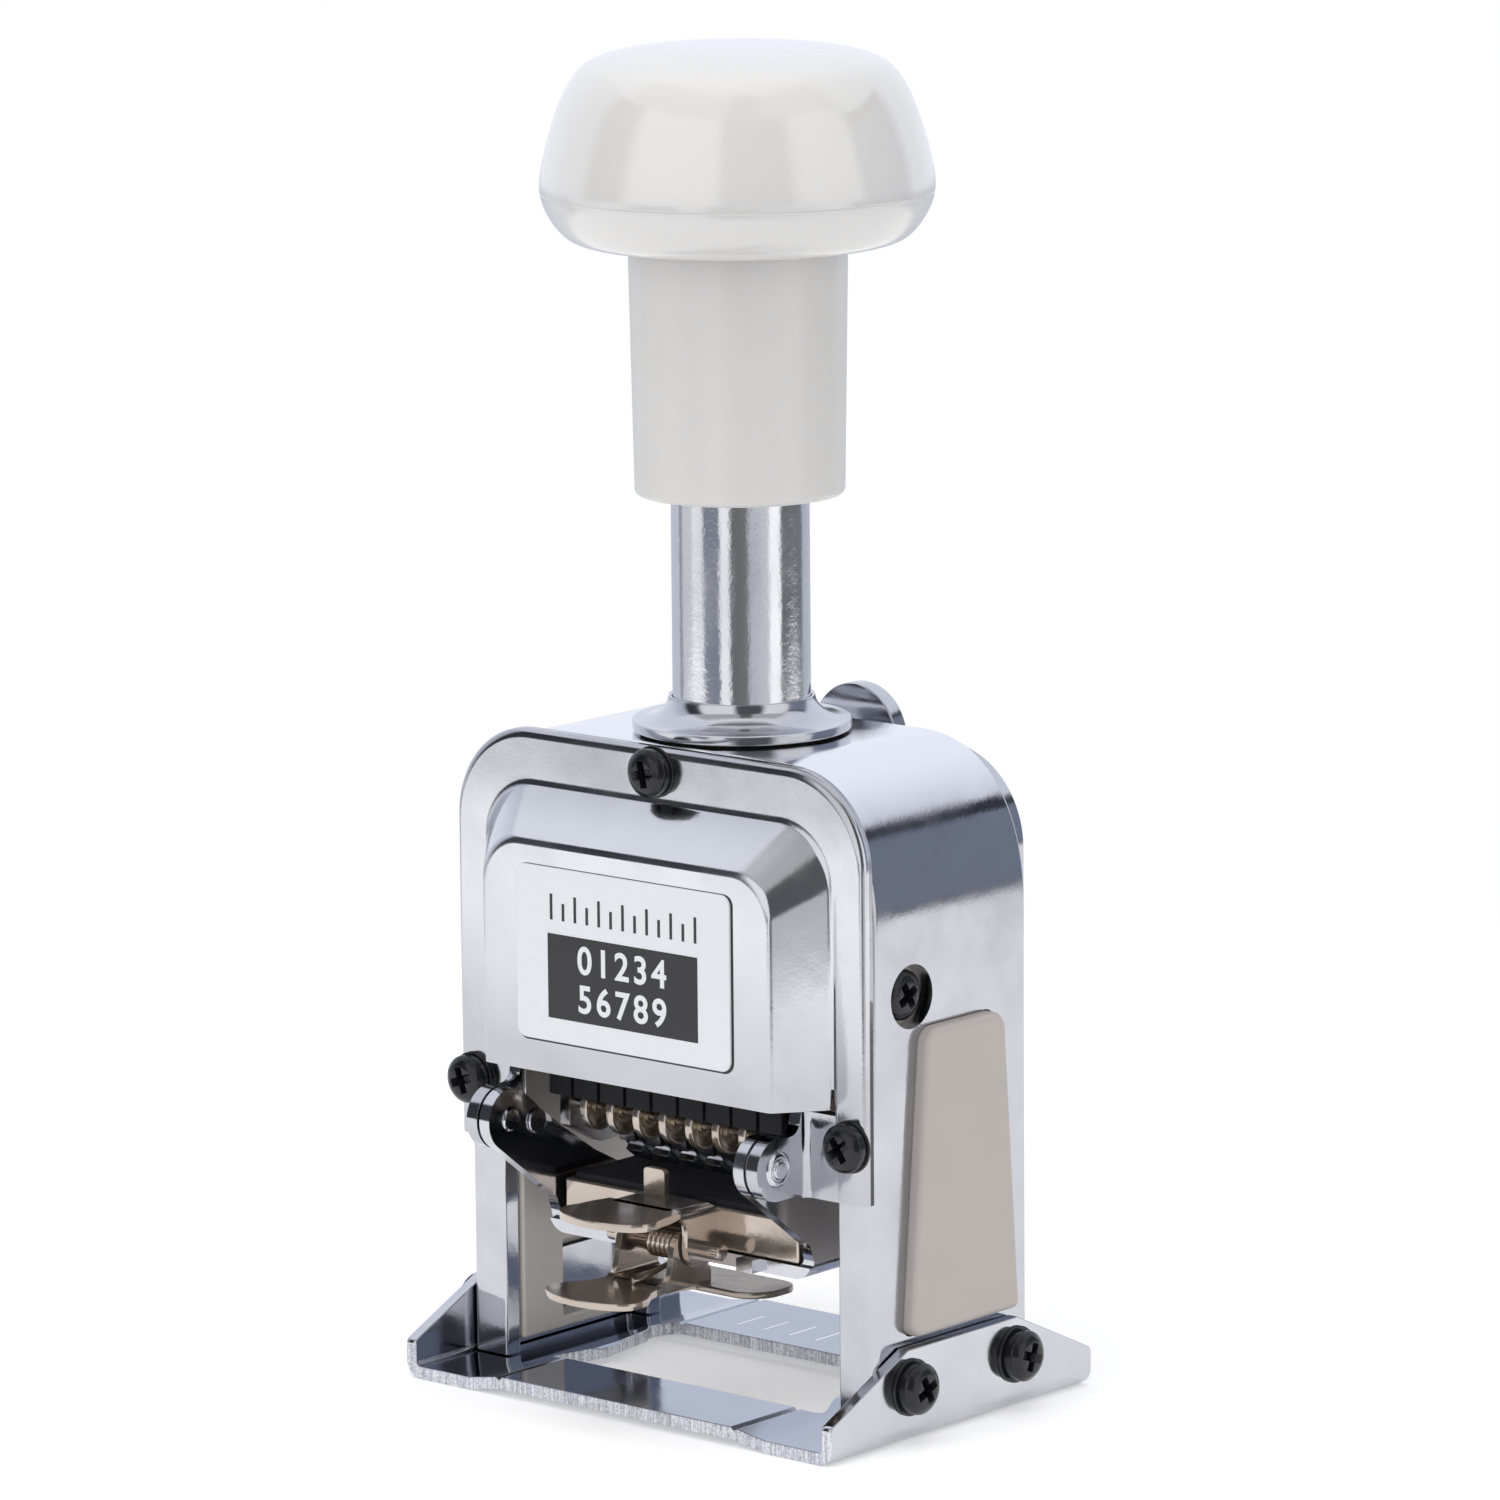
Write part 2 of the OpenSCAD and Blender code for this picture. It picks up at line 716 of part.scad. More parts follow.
// Rounds an open outline by cutting its corners, a given number of times
function eased(p, times) = times == 0 ? p : eased(concat(
  [p[0]],
  [for (i = [0:len(p) - 2], k = [0.25, 0.75]) p[i] * (1 - k) + p[i + 1] * k],
  [p[len(p) - 1]]
), times - 1);

// The knob's half outline: flat underside, low belly, tapering flank, shallow dome
function knob_profile() = let (r = knob_r, z = knob_z, top = knob_z + knob_h) eased([
  [0, z], [0.56 * r, z], [0.82 * r, z + 0.4], [0.92 * r, z + 2.2], [0.995 * r, z + 5.2],
  [1.003 * r, z + 8], [0.945 * r, z + 13.3], [0.866 * r, top - 4.6], [0.741 * r, top - 1.2],
  [0.357 * r, top], [0, top]
], 3);

module knob_solid() {
  rotate_extrude($fn = 96) polygon(knob_profile());
}

module knob_top() {
  wall = 2.6;
  lip_r = knob_r - 3.6;
  placed() color("ivory") difference() {
    union() {
      difference() {
        knob_solid();
        translate([0, 0, knob_z - 1]) cylinder(r = knob_r + 1, h = seam_z - knob_z + 1);
      }
      translate([0, 0, seam_z - 1]) cylinder(r = lip_r, h = 1 + eps);
    }
    translate([0, 0, seam_z - 2]) cylinder(r = lip_r - 1.8, h = knob_h * 0.56);
    translate([0, 0, seam_z - 2 + knob_h * 0.56 - eps])
      cylinder(r1 = lip_r - 1.8, r2 = lip_r - 6.5, h = wall);
  }
}

module knob_bottom() {
  lip_r = knob_r - 3.6;
  placed() color("ivory") difference() {
    intersection() {
      knob_solid();
      translate([0, 0, knob_z - 1]) cylinder(r = knob_r + 1, h = seam_z - knob_z + 1 - 0.02);
    }
    translate([0, 0, seam_z - 1.05]) cylinder(r = lip_r + seat_fit, h = 3);
    translate([0, 0, knob_screw_z]) cylinder(r = 8, h = 10);
    translate([0, 0, knob_z - 1]) cylinder(r = knob_screw_r + screw_fit, h = 10);
  }
}

module knob_screw() {
  placed() color("dimgray") translate([0, 0, knob_screw_z])
    screw(knob_screw_r, knob_screw_z - stem_top + knob_screw_grip, 5.2, 3.4);
}

module handle_sleeve() {
  bore_r = stem_r + seat_fit;
  hole_r = knob_screw_r + screw_fit;
  edge_x = sleeve_r0 - sleeve_edge_r;
  placed() color("ivory") rotate_extrude() polygon(concat(
    [[hole_r, knob_z], [hole_r, stem_top], [bore_r, stem_top], [bore_r, sleeve_z + 3.4]],
    [[edge_x - 0.1, sleeve_z]],
    arc_points(edge_x, sleeve_z + sleeve_edge_r, sleeve_edge_r, sleeve_edge_r, 270, 360, 6),
    [[sleeve_r, knob_z]]
  ));
}

module stem() {
  hole_len = knob_screw_grip + 2;
  placed() color("silver") difference() {
    translate([0, 0, stem_z]) cylinder(r = stem_r, h = stem_top - stem_z);
    translate([0, 0, stem_top - hole_len]) cylinder(r = knob_screw_r + seat_fit, h = hole_len + 1);
  }
}

module stem_nut() {
  placed() color("silver") difference() {
    translate([0, 0, carriage_z - stem_nut_h - lay_gap])
      cylinder(r = stem_r + 3.6, h = stem_nut_h, $fn = 6);
    translate([0, 0, stem_z - 1]) cylinder(r = stem_r + seat_fit, h = 8);
  }
}

module return_buffer() {
  placed() color("black")
    ring(stem_r + seat_fit, stem_r + 3, carriage_top + lay_gap, carriage_top + lay_gap + buffer_t - 0.05);
}

// Side view of a carriage side plate, drawn in (Y, Z)
module carriage_plate_outline() {
  polygon([
    [-9, carriage_z + 1], [carriage_rear, carriage_z + 1], [carriage_rear, wheel_z + 5.1],
    [6, wheel_z - 3.5],
    [-7, wheel_z - 3.5], [-12.2, wheel_z - 0.7], [-12.2, wheel_z + 4.6],
    [-10.2, wheel_z + 7.1], [-10.2, carriage_z - 4.8]
  ]);
}

module carriage_frame() {
  plate_hw = guide_in - 0.3;
  plate_front = -9;
  plate_rear = 4;
  placed() color("silver") difference() {
    union() {
      translate([-plate_hw, plate_front, carriage_z])
        cube([2 * plate_hw, plate_rear - plate_front, carriage_t]);
      translate([-plate_out, plate_front, carriage_z])
        cube([2 * plate_out, carriage_rear - plate_front, carriage_t]);
      both_sides() along_x(plate_in, plate_out) carriage_plate_outline();
      translate([-plate_out, crossbar_y, crossbar_z]) cube([2 * plate_out, 5.4, crossbar_h]);
    }
    translate([0, 0, carriage_z - 1]) cylinder(r = stem_r + seat_fit, h = carriage_t + 2);
    rod_along_x(axle_r + seat_fit, -plate_out - 1, plate_out + 1, wheel_y, wheel_z);
    rod_along_x(rod_r + seat_fit, -plate_out - 1, plate_out + 1, rod_y, rod_z);
    rod_along_x(detent_rod_r + seat_fit, -plate_out - 1, plate_out + 1, detent_y, detent_z);
    for (x = [-comb_screw_x, comb_screw_x])
      rod_along_y(1 + seat_fit, crossbar_y - 1, crossbar_y + 4, x, crossbar_z + crossbar_h / 2);
  }
}

module wheel_axle() {
  placed() color("silver") rod_along_x(axle_r, -plate_out - clip_t, plate_out + clip_t, wheel_y, wheel_z);
}

module axle_clips() {
  placed() color("dimgray") both_sides() difference() {
    rod_along_x(axle_r + 1.2, plate_out, plate_out + clip_t, wheel_y, wheel_z);
    rod_along_x(axle_r + seat_fit, plate_out - 1, plate_out + 1, wheel_y, wheel_z);
    translate([plate_out - 1, wheel_y - 0.6, wheel_z - axle_r - 3]) cube([3, 1.2, axle_r + 3]);
  }
}

module detent_comb() {
  y1 = crossbar_y;
  placed() color("black") difference() {
    translate([-comb_hw, y1 - comb_t, comb_z]) cube([2 * comb_hw, comb_t, comb_top - comb_z]);
    for (i = [0:wheel_count])
      translate([(i - wheel_count / 2) * wheel_pitch - comb_slot_w / 2, y1 - comb_t - 1, comb_z - 1])
        cube([comb_slot_w, comb_t + 2, comb_slot_top - comb_z + 1]);
    for (x = [-comb_screw_x, comb_screw_x])
      rod_along_y(1 + screw_fit, y1 - comb_t - 1, y1 + 1, x, crossbar_z + crossbar_h / 2);
  }
}

module comb_screws() {
  placed() color("dimgray") for (x = [-comb_screw_x, comb_screw_x])
    screw_front([x, crossbar_y - comb_t, crossbar_z + crossbar_h / 2], 1, comb_t + 3.5, 2, 1.4);
}

module detent_rod() {
  placed() color("silver") rod_along_x(detent_rod_r, -plate_out, plate_out, detent_y, detent_z);
}

// One small disc per wheel: rim to the left, dished face and hub to the right
module detent_rollers() {
  placed() color("goldenrod") for (i = [0:wheel_count - 1])
    translate([(i - wheel_count / 2) * wheel_pitch + 0.05, detent_y, detent_z]) rotate([0, 90, 0])
      rotate_extrude($fn = 48) polygon([
        [detent_rod_r + seat_fit, 0], [detent_r, 0], [detent_r, detent_rim_w],
        [detent_r - 0.35, detent_rim_w], [0.95, 0.5], [0.95, wheel_pitch - 0.1],
        [detent_rod_r + seat_fit, wheel_pitch - 0.1]
      ]);
}

// The rod's ends are turned down for the return springs' hooks
module pawl_rod() {
  placed() color("silver") {
    rod_along_x(rod_r, -plate_out - 0.2, plate_out + 0.2, rod_y, rod_z);
    rod_along_x(rod_end_r, -spring_x - 2.2, spring_x + 2.2, rod_y, rod_z);
  }
}

// ---------------------------------------------------------------- figure wheels

// Drum with ten type blocks and a ten-tooth ratchet on its right face
module digit_wheel(i) {
  drum_w = wheel_w - 0.6;
  block_w = 2.3;
  block_len = drum_w - 0.4;
  tooth_r = drum_r - 0.9;
  placed() color("lightgray")
    translate([(i - (wheel_count + 1) / 2) * wheel_pitch - wheel_w / 2, wheel_y, wheel_z])
      rotate([0, 90, 0]) difference() {
        union() {
          cylinder(r = drum_r, h = drum_w);
          for (a = [0:9]) rotate([0, 0, a * 36])
            translate([drum_r - 0.4, -block_w / 2, 0.2])
              cube([wheel_r - drum_r + 0.35, block_w, block_len]);
          translate([0, 0, drum_w - eps]) linear_extrude(wheel_w - drum_w + eps) polygon([
            for (a = [0:9], k = [0, 1]) let (t = a * 36 + k * 9, r = tooth_r - k * 0.8)
              [r * cos(t), r * sin(t)]
          ]);
        }
        translate([0, 0, -1]) cylinder(r = axle_r + run_fit, h = wheel_w + 2);
      }
}

module digit_wheel_1() digit_wheel(1);
module digit_wheel_2() digit_wheel(2);
module digit_wheel_3() digit_wheel(3);
module digit_wheel_4() digit_wheel(4);
module digit_wheel_5() digit_wheel(5);
module digit_wheel_6() digit_wheel(6);
module digit_wheel_7() digit_wheel(7);

// Feed pawls: one hub on the rod, one finger behind each wheel
module pawl_bar() {
  hub_r = 2.4;
  finger_w = 2.4;
  finger_t = 1.1;
  finger_len = 7.4;
  hub_x0 = -plate_in + 0.3;
  hub_x1 = row_hw - 1.6;
  placed() color("silver") difference() {
    union() {
      rod_along_x(hub_r, hub_x0, hub_x1, rod_y, rod_z);
      for (i = [1:wheel_count])
        translate([(i - (wheel_count + 1) / 2) * wheel_pitch, rod_y - 0.9, rod_z - finger_len])
          translate([-finger_w / 2, 0, 0]) cube([finger_w, finger_t, finger_len]);
    }
    rod_along_x(rod_r + run_fit, hub_x0 - 1, hub_x1 + 1, rod_y, rod_z);
  }
}

module pawl_spring() {
  turns = 3;
  start = row_hw - 0.1;
  placed() color("lightgray") translate([start, rod_y, rod_z]) rotate([0, 90, 0])
    rotate_extrude() for (i = [0:turns - 1]) translate([1.65, i * 0.68]) circle(0.35, $fn = 24);
}

// ---------------------------------------------------------------- ink pad

module pivot_pins() {
  placed() color("silver") both_sides() {
    rod_along_x(pivot_pin_r, arm_in - 0.3, ear_out + eps, pivot_y, pivot_z);
    rod_along_x(2.1, ear_out, ear_out + 0.7, pivot_y, pivot_z);
  }
}

module pivot_washers() {
  placed() color("dimgray") both_sides() difference() {
    rod_along_x(3, arm_out + 0.1, ear_in, pivot_y, pivot_z);
    rod_along_x(pivot_pin_r + seat_fit, arm_out - 1, ear_in + 1, pivot_y, pivot_z);
  }
}

// Side view of a pad arm, drawn in (Y, Z): a pivot eye and a long tapering leg
module arm_outline() {
  eye = [pivot_y, pivot_z];
  toe = [holder_front - 0.2, floor_z + 4.2];
  heel = [-14.7, floor_z + 15.1];
  under = [holder_front + 0.6, floor_z];
  translate(eye) circle(pivot_r);
  polygon([
    eye, touch_point(eye, pivot_r, toe, 1), toe, [holder_front + 0.5, floor_z + 2.3], under,
    [holder_rear, floor_z], [holder_rear, floor_z + 3.3], [-5.5, floor_z + 8.6],
    [-10.8, floor_z + 12.2], heel, touch_point(eye, pivot_r, heel, -1)
  ]);
}

// Section of the holder: a channel with round outer bends
module channel_section() {
  difference() {
    union() {
      round_rect(-arm_out, arm_out, floor_z, floor_z + 12, 2.5);
      translate([-arm_out, floor_z + 6]) square([2 * arm_out, 30]);
    }
    round_rect(-arm_in, arm_in, floor_z + holder_t, floor_z + 12, 1);
    translate([-arm_in, floor_z + 6]) square([2 * arm_in, 40]);
  }
}

module pad_holder() {
  tab_x = 11;
  placed() color("silver") difference() {
    union() {
      intersection() {
        along_y(pivot_y - pivot_r - 1, holder_rear + 1) channel_section();
        along_x(-arm_out - 1, arm_out + 1) union() {
          arm_outline();
          translate([holder_front, floor_z]) square([pad_d, holder_t]);
        }
      }
      translate([tab_x - 1.2, holder_front - 1.3, floor_z]) cube([2.4, 1.4, holder_t]);
    }
    rod_along_x(pivot_pin_r + run_fit, -arm_out - 1, arm_out + 1, pivot_y, pivot_z);
    rod_along_x(0.9 + seat_fit, -arm_out - 1, arm_out + 1, -15.6, pivot_z - 0.9);
  }
}

module cam_rivets() {
  placed() color("silver") both_sides() {
    rod_along_x(0.9, arm_in - eps, arm_out + 0.1, -15.6, pivot_z - 0.9);
    rod_along_x(1.5, arm_in - 0.4, arm_in, -15.6, pivot_z - 0.9);
  }
}

// Plan of a pinch lug: round front, waist behind it
module lug_plan(front, half_w, neck_w, rear) {
  round_len = 3.2;
  waist_len = 5.8;
  shoulder = front + round_len;
  translate([0, shoulder]) intersection() {
    scale([half_w, round_len]) circle(1);
    translate([-half_w, -round_len]) square([2 * half_w, round_len + 0.6]);
  }
  polygon(concat(
    [[-half_w, shoulder]],
    arc_points(-half_w - 0.2, shoulder + waist_len, half_w - neck_w + 0.2, waist_len, 270, 360, 8),
    [[-neck_w, rear], [neck_w, rear]],
    arc_points(half_w + 0.2, shoulder + waist_len, half_w - neck_w + 0.2, waist_len, 180, 270, 8),
    [[half_w, shoulder]]
  ));
}

module pad_tray() {
  tab_hw = 1.65;
  tray_d = tray_rear - tray_front;
  placed() color("lightgray") difference() {
    union() {
      difference() {
        translate([-tray_hw, tray_front, tray_z]) cube([2 * tray_hw, tray_d, tray_top - tray_z]);
        translate([tray_t - tray_hw, tray_front + tray_t, tray_z + tray_t])
          cube([2 * (tray_hw - tray_t), tray_d - 2 * tray_t, 20]);
      }
      translate([-tab_hw, tray_front, tray_top - 1]) cube([2 * tab_hw, tray_t, 4.8]);
      translate([0, 0, lug_z]) linear_extrude(lug_t)
        lug_plan(lug_front, lug_half_w, tray_ear_x + clip_ear_t, tray_front + tray_t);
      both_sides() along_x(tray_ear_x, tray_ear_x + clip_ear_t) {
        translate([clip_ear_y, clip_z]) circle(clip_ear_r);
        polygon([
          [clip_ear_y - clip_ear_r, clip_z], [clip_ear_y - 1.8, lug_z - 1.5],
          [clip_ear_y - 3, lug_z + eps], [tray_front + eps, lug_z + eps],
          [tray_front + eps, tray_z], [clip_ear_y + clip_ear_r, tray_z], [clip_ear_y + clip_ear_r, clip_z]
        ]);
      }
    }
    rod_along_x(clip_pin_r + seat_fit, -tray_ear_x - 3, tray_ear_x + 3, clip_y, clip_z);
  }
}

module ink_pad() {
  gap = tray_t + lay_gap;
  placed() color("black") translate([gap - tray_hw, tray_front + gap, tray_z + gap])
    cube([2 * (tray_hw - gap), tray_rear - tray_front - 2 * gap, pad_top - tray_z - gap]);
}

module clip_pin() {
  placed() color("dimgray") rod_along_x(clip_pin_r, -8.5, 8.5, clip_y, clip_z);
}

module clip_spring() {
  turns = 6;
  pitch = 0.74;
  placed() color("silver") translate([0, clip_y, clip_z]) {
    translate([-pitch * (turns - 1) / 2, 0, 0]) rotate([0, 90, 0])
      rotate_extrude() for (i = [0:turns - 1]) translate([1.45, i * pitch]) circle(0.38, $fn = 24);
    translate([pitch * 2.5, -1.45, 0]) cylinder(r = 0.36, h = lug_z - clip_z - 0.02, $fn = 24);
  }
}

module clip_lever() {
  neck_w = lever_ear_x + clip_ear_t;
  jaw_x0 = -neck_w;
  jaw_x1 = lug_half_w + 6.5;
  hook_z = floor_z - 0.15;
  placed() color("silver") difference() {
    union() {
      translate([0, 0, lever_lug_z]) linear_extrude(lever_t)
        lug_plan(lever_lug_front, lug_half_w, neck_w, clip_y + 1);
      both_sides() along_x(lever_ear_x, neck_w) {
        translate([clip_ear_y, clip_z]) circle(clip_ear_r);
        polygon([
          [clip_ear_y - clip_ear_r, clip_z], [clip_ear_y - clip_ear_r - 0.9, lever_lug_z + 2],
          [clip_ear_y - clip_ear_r - 3.5, lever_lug_z + eps], [clip_ear_y + 1.6, lever_lug_z + eps],
          [clip_ear_y + clip_ear_r, clip_z]
        ]);
      }
      intersection() {
        along_x(jaw_x0, jaw_x1) polygon([
          [clip_y - 1, lever_lug_z], [clip_y + 1, lever_lug_z], [clip_y + 8, hook_z - lever_t],
          [clip_y + 8, hook_z], [clip_y + 0.8, lever_lug_z + lever_t], [clip_y - 1, lever_lug_z + lever_t]
        ]);
        linear_extrude(60) round_rect(jaw_x0 - 4, jaw_x1, clip_y - 1, clip_y + 14, 3.5);
      }
    }
    rod_along_x(clip_pin_r + run_fit, -neck_w - 2, neck_w + 2, clip_y, clip_z);
  }
}

// ---------------------------------------------------------------- nodes

foot_plate();
foot_screws();
foot_washers();
housing_frame();
front_cover();
front_cover_screws();
label_plate();
rear_cover();
rear_cover_screws();
selector_lever();
selector_screw();
side_guide_left();
side_guide_right();
side_guide_screws();
collar();
collar_washer();
collar_nut();
spring_hanger();
return_spring_left();
return_spring_right();
pivot_pins();
pivot_washers();
knob_top();
knob_bottom();
knob_screw();
handle_sleeve();
stem();
stem_nut();
return_buffer();
carriage_frame();
wheel_axle();
axle_clips();
detent_comb();
comb_screws();
detent_rod();
detent_rollers();
pawl_rod();
digit_wheel_1();
digit_wheel_2();
digit_wheel_3();
digit_wheel_4();
digit_wheel_5();
digit_wheel_6();
digit_wheel_7();
pawl_bar();
pawl_spring();
pad_holder();
cam_rivets();
pad_tray();
ink_pad();
clip_pin();
clip_spring();
clip_lever();
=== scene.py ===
import json
import math

import bmesh
import bpy
from mathutils import Matrix, Vector


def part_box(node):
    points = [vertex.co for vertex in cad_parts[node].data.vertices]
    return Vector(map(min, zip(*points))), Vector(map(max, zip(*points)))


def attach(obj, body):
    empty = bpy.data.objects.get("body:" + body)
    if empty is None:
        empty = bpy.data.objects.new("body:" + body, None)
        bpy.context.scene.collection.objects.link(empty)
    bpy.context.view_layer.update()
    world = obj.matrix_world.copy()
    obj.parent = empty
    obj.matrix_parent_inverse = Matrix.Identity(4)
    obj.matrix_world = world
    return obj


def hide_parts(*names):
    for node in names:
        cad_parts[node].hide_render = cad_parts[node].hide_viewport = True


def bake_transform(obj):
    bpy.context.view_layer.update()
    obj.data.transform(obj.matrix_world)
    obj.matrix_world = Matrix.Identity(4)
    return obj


# A numbering machine: finishes for the CAD nodes, finer pieces that stand for some of them,
# and the studio. Shapes are drawn in mm from the housing's centre line.

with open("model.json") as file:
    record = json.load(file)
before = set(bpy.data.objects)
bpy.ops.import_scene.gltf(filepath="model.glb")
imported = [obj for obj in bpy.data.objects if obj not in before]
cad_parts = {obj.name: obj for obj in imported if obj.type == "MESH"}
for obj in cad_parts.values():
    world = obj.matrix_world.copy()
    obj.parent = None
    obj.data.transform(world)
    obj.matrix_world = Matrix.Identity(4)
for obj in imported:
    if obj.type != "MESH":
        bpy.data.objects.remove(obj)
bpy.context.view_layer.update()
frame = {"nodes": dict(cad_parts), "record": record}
shell_low, shell_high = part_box("housing_frame")
Y0 = (shell_low.y + shell_high.y) * 500  # the housing's centre line, in mm


def mm(x, y, z):
    """A point given in mm from the housing's centre line, in the frame's metres."""
    return Vector((x, y + Y0, z)) * 0.001


# ------------------------------------ shader nodes


def node(tree, kind, props=None, **inputs):
    """Adds a shader node; an input is a constant or another node's output."""
    made = tree.nodes.new("ShaderNode" + kind)
    for name, value in (props or {}).items():
        setattr(made, name, value)
    for name, value in inputs.items():
        put(tree, made.inputs[name.replace("_", " ")], value)
    return made


def put(tree, socket, value):
    """Feeds a socket from another node, or sets its constant."""
    if isinstance(value, bpy.types.NodeSocket):
        tree.links.new(value, socket)
    else:
        socket.default_value = value


def calc(tree, operation, *values):
    """Adds a maths node."""
    made = tree.nodes.new("ShaderNodeMath")
    made.operation = operation
    for i, value in enumerate(values):
        put(tree, made.inputs[i], value)
    return made.outputs[0]


def spread(tree, value, low, high, to_low, to_high, smooth=False):
    """Maps value from low..high to to_low..to_high, held at the ends."""
    props = {"interpolation_type": "SMOOTHSTEP" if smooth else "LINEAR"}
    made = node(tree, "MapRange", props, Value=value, From_Min=low, From_Max=high,
                To_Min=to_low, To_Max=to_high)
    return made.outputs[0]


def object_noise(tree, scale, stretch=(1, 1, 1), detail=2.0):
    """Noise in the piece's own space; scale is in features per metre."""
    place = node(tree, "TexCoord").outputs["Object"]
    fit = node(tree, "Mapping", Vector=place, Scale=stretch)
    noise = node(tree, "TexNoise", Vector=fit.outputs[0], Scale=scale, Detail=detail)
    return noise.outputs[0]


def blend_colour(tree, share, a, b):
    """Mixes two colours, each a constant or a socket."""
    made = node(tree, "Mix", {"data_type": "RGBA"})
    put(tree, made.inputs[0], share)
    put(tree, made.inputs[6], a)
    put(tree, made.inputs[7], b)
    return made.outputs[2]


def tint(tree, share, a, b):
    """Mixes two plain colours."""
    return blend_colour(tree, share, (*a, 1), (*b, 1))


def bumps(tree, layers):
    """Stacks bump nodes; a layer is (height, depth in metres)."""
    normal = None
    for height, depth in layers:
        made = node(tree, "Bump", Strength=1.0, Distance=depth, Height=height)
        if normal is not None:
            put(tree, made.inputs["Normal"], normal)
        normal = made.outputs[0]
    return normal


def new_material(name):
    """A material with its node tree and its Principled shader."""
    made = bpy.data.materials.new(name)
    made.use_nodes = True
    tree = made.node_tree
    shader = tree.nodes["Principled BSDF"]
    return made, tree, shader


# The light colour that plated metal blends towards by height: a painted sheen for reflected light.
PAINTED_SHEEN_METAL = (0.88, 0.885, 0.91, 1)
SWELL = 2e-5  # depth of the slow waves in plating, in metres


def plated(name, bright, dull, rough, grain=0.004, metal=1.0, sheen_heights=None, sheen_share=1.0):
    """Plated or bare metal: blotchy roughness, faint waves and fine wiping scratches.

    The last two arguments give a height range in metres over which a painted sheen comes in,
    a lighter colour that stands in for reflected light, with a second range where it goes again if need
    be, and how strong that painted sheen gets."""
    made, tree, shader = new_material(name)
    cloud = object_noise(tree, 130, detail=4)
    shine = spread(tree, cloud, 0.35, 0.7, rough[0], rough[1])
    colour = tint(tree, cloud, bright, dull)
    # Painted sheen: a lighter colour by height that stands in for reflected light.
    if sheen_heights:
        place = node(tree, "TexCoord").outputs["Object"]
        height = node(tree, "SeparateXYZ", Vector=place).outputs[2]
        share = spread(tree, height, sheen_heights[0], sheen_heights[1], 0, sheen_share, True)
        if len(sheen_heights) > 2:
            back = spread(tree, height, sheen_heights[2], sheen_heights[3], 1, 0, True)
            share = calc(tree, "MULTIPLY", share, back)
        colour = blend_colour(tree, share, colour, PAINTED_SHEEN_METAL)
    put(tree, shader.inputs["Base Color"], colour)
    put(tree, shader.inputs["Roughness"], shine)
    shader.inputs["Metallic"].default_value = metal
    swell = object_noise(tree, 160, detail=1)
    wipe = object_noise(tree, 1000, (1, 1, 0.6), 4)
    speck = object_noise(tree, 2600, detail=2)
    normal = bumps(tree, [(swell, SWELL), (wipe, grain * 1e-3), (speck, grain * 0.4e-3)])
    put(tree, shader.inputs["Normal"], normal)
    return made


def plastic(name, light, dark, rough, coat=0.0, grain=0.004, glow=0.0, shine=0.5):
    """Plastic, paint or rubber; rough is its range, glow the light that enters it."""
    made, tree, shader = new_material(name)
    cloud = object_noise(tree, 90, detail=3)
    put(tree, shader.inputs["Base Color"], tint(tree, cloud, light, dark))
    put(tree, shader.inputs["Roughness"], spread(tree, cloud, 0.3, 0.7, rough[0], rough[1]))
    shader.inputs["Specular IOR Level"].default_value = shine
    shader.inputs["Coat Weight"].default_value = coat
    shader.inputs["Coat Roughness"].default_value = 0.06
    shader.inputs["Subsurface Weight"].default_value = glow
    shader.inputs["Subsurface Radius"].default_value = (0.004, 0.004, 0.003)
    shader.inputs["Subsurface Scale"].default_value = 1.0
    fine = object_noise(tree, 3000, detail=2)
    put(tree, shader.inputs["Normal"], bumps(tree, [(fine, grain * 1e-3)]))
    return made


def sheared(name):
    """A torn sheet edge: bright and dark streaks across its thickness."""
    made, tree, shader = new_material(name)
    streak = object_noise(tree, 3200, (1, 1, 0.06), 3)
    speck = object_noise(tree, 3600, detail=3)
    mixed = calc(tree, "MULTIPLY_ADD", speck, 0.45, calc(tree, "MULTIPLY", streak, 0.55))
    share = spread(tree, mixed, 0.4, 0.6, 0, 1)
    put(tree, shader.inputs["Base Color"], tint(tree, share, (0.40, 0.42, 0.47), (0.82, 0.83, 0.88)))
    put(tree, shader.inputs["Roughness"], spread(tree, mixed, 0.3, 0.7, 0.45, 0.25))
    shader.inputs["Metallic"].default_value = 0.8
    put(tree, shader.inputs["Normal"], bumps(tree, [(mixed, 8e-5)]))
    return made


CHROME = plated("chrome", (0.66, 0.67, 0.71), (0.50, 0.505, 0.54), (0.08, 0.2), grain=0.009)
# A darker copy of the chrome, painted shade, with a painted sheen that lightens a band of the cover's
# face by height.
COVER = plated("cover_chrome", (0.56, 0.57, 0.605), (0.425, 0.43, 0.462), (0.08, 0.2), grain=0.009,
               sheen_heights=(0.037, 0.06, 0.066, 0.073), sheen_share=0.5)
# A slightly darker copy of the chrome, lightened towards the arch's top by a painted sheen for the
# overhead light it reflects.
ARCH = plated("arch_chrome", (0.625, 0.635, 0.675), (0.455, 0.46, 0.495), (0.08, 0.2), grain=0.009,
              sheen_heights=(0.0685, 0.0755))
# Darker, bluer chrome for the foot's upper faces: a painted reflection of what they mirror.
FOOT_TOP_REFLECTION = plated("foot_top_reflection", (0.40, 0.43, 0.51), (0.35, 0.38, 0.46), (0.07, 0.14), grain=0.005)
STEM = plated("stem_chrome", (0.84, 0.85, 0.88), (0.66, 0.67, 0.71), (0.07, 0.17), grain=0.025)
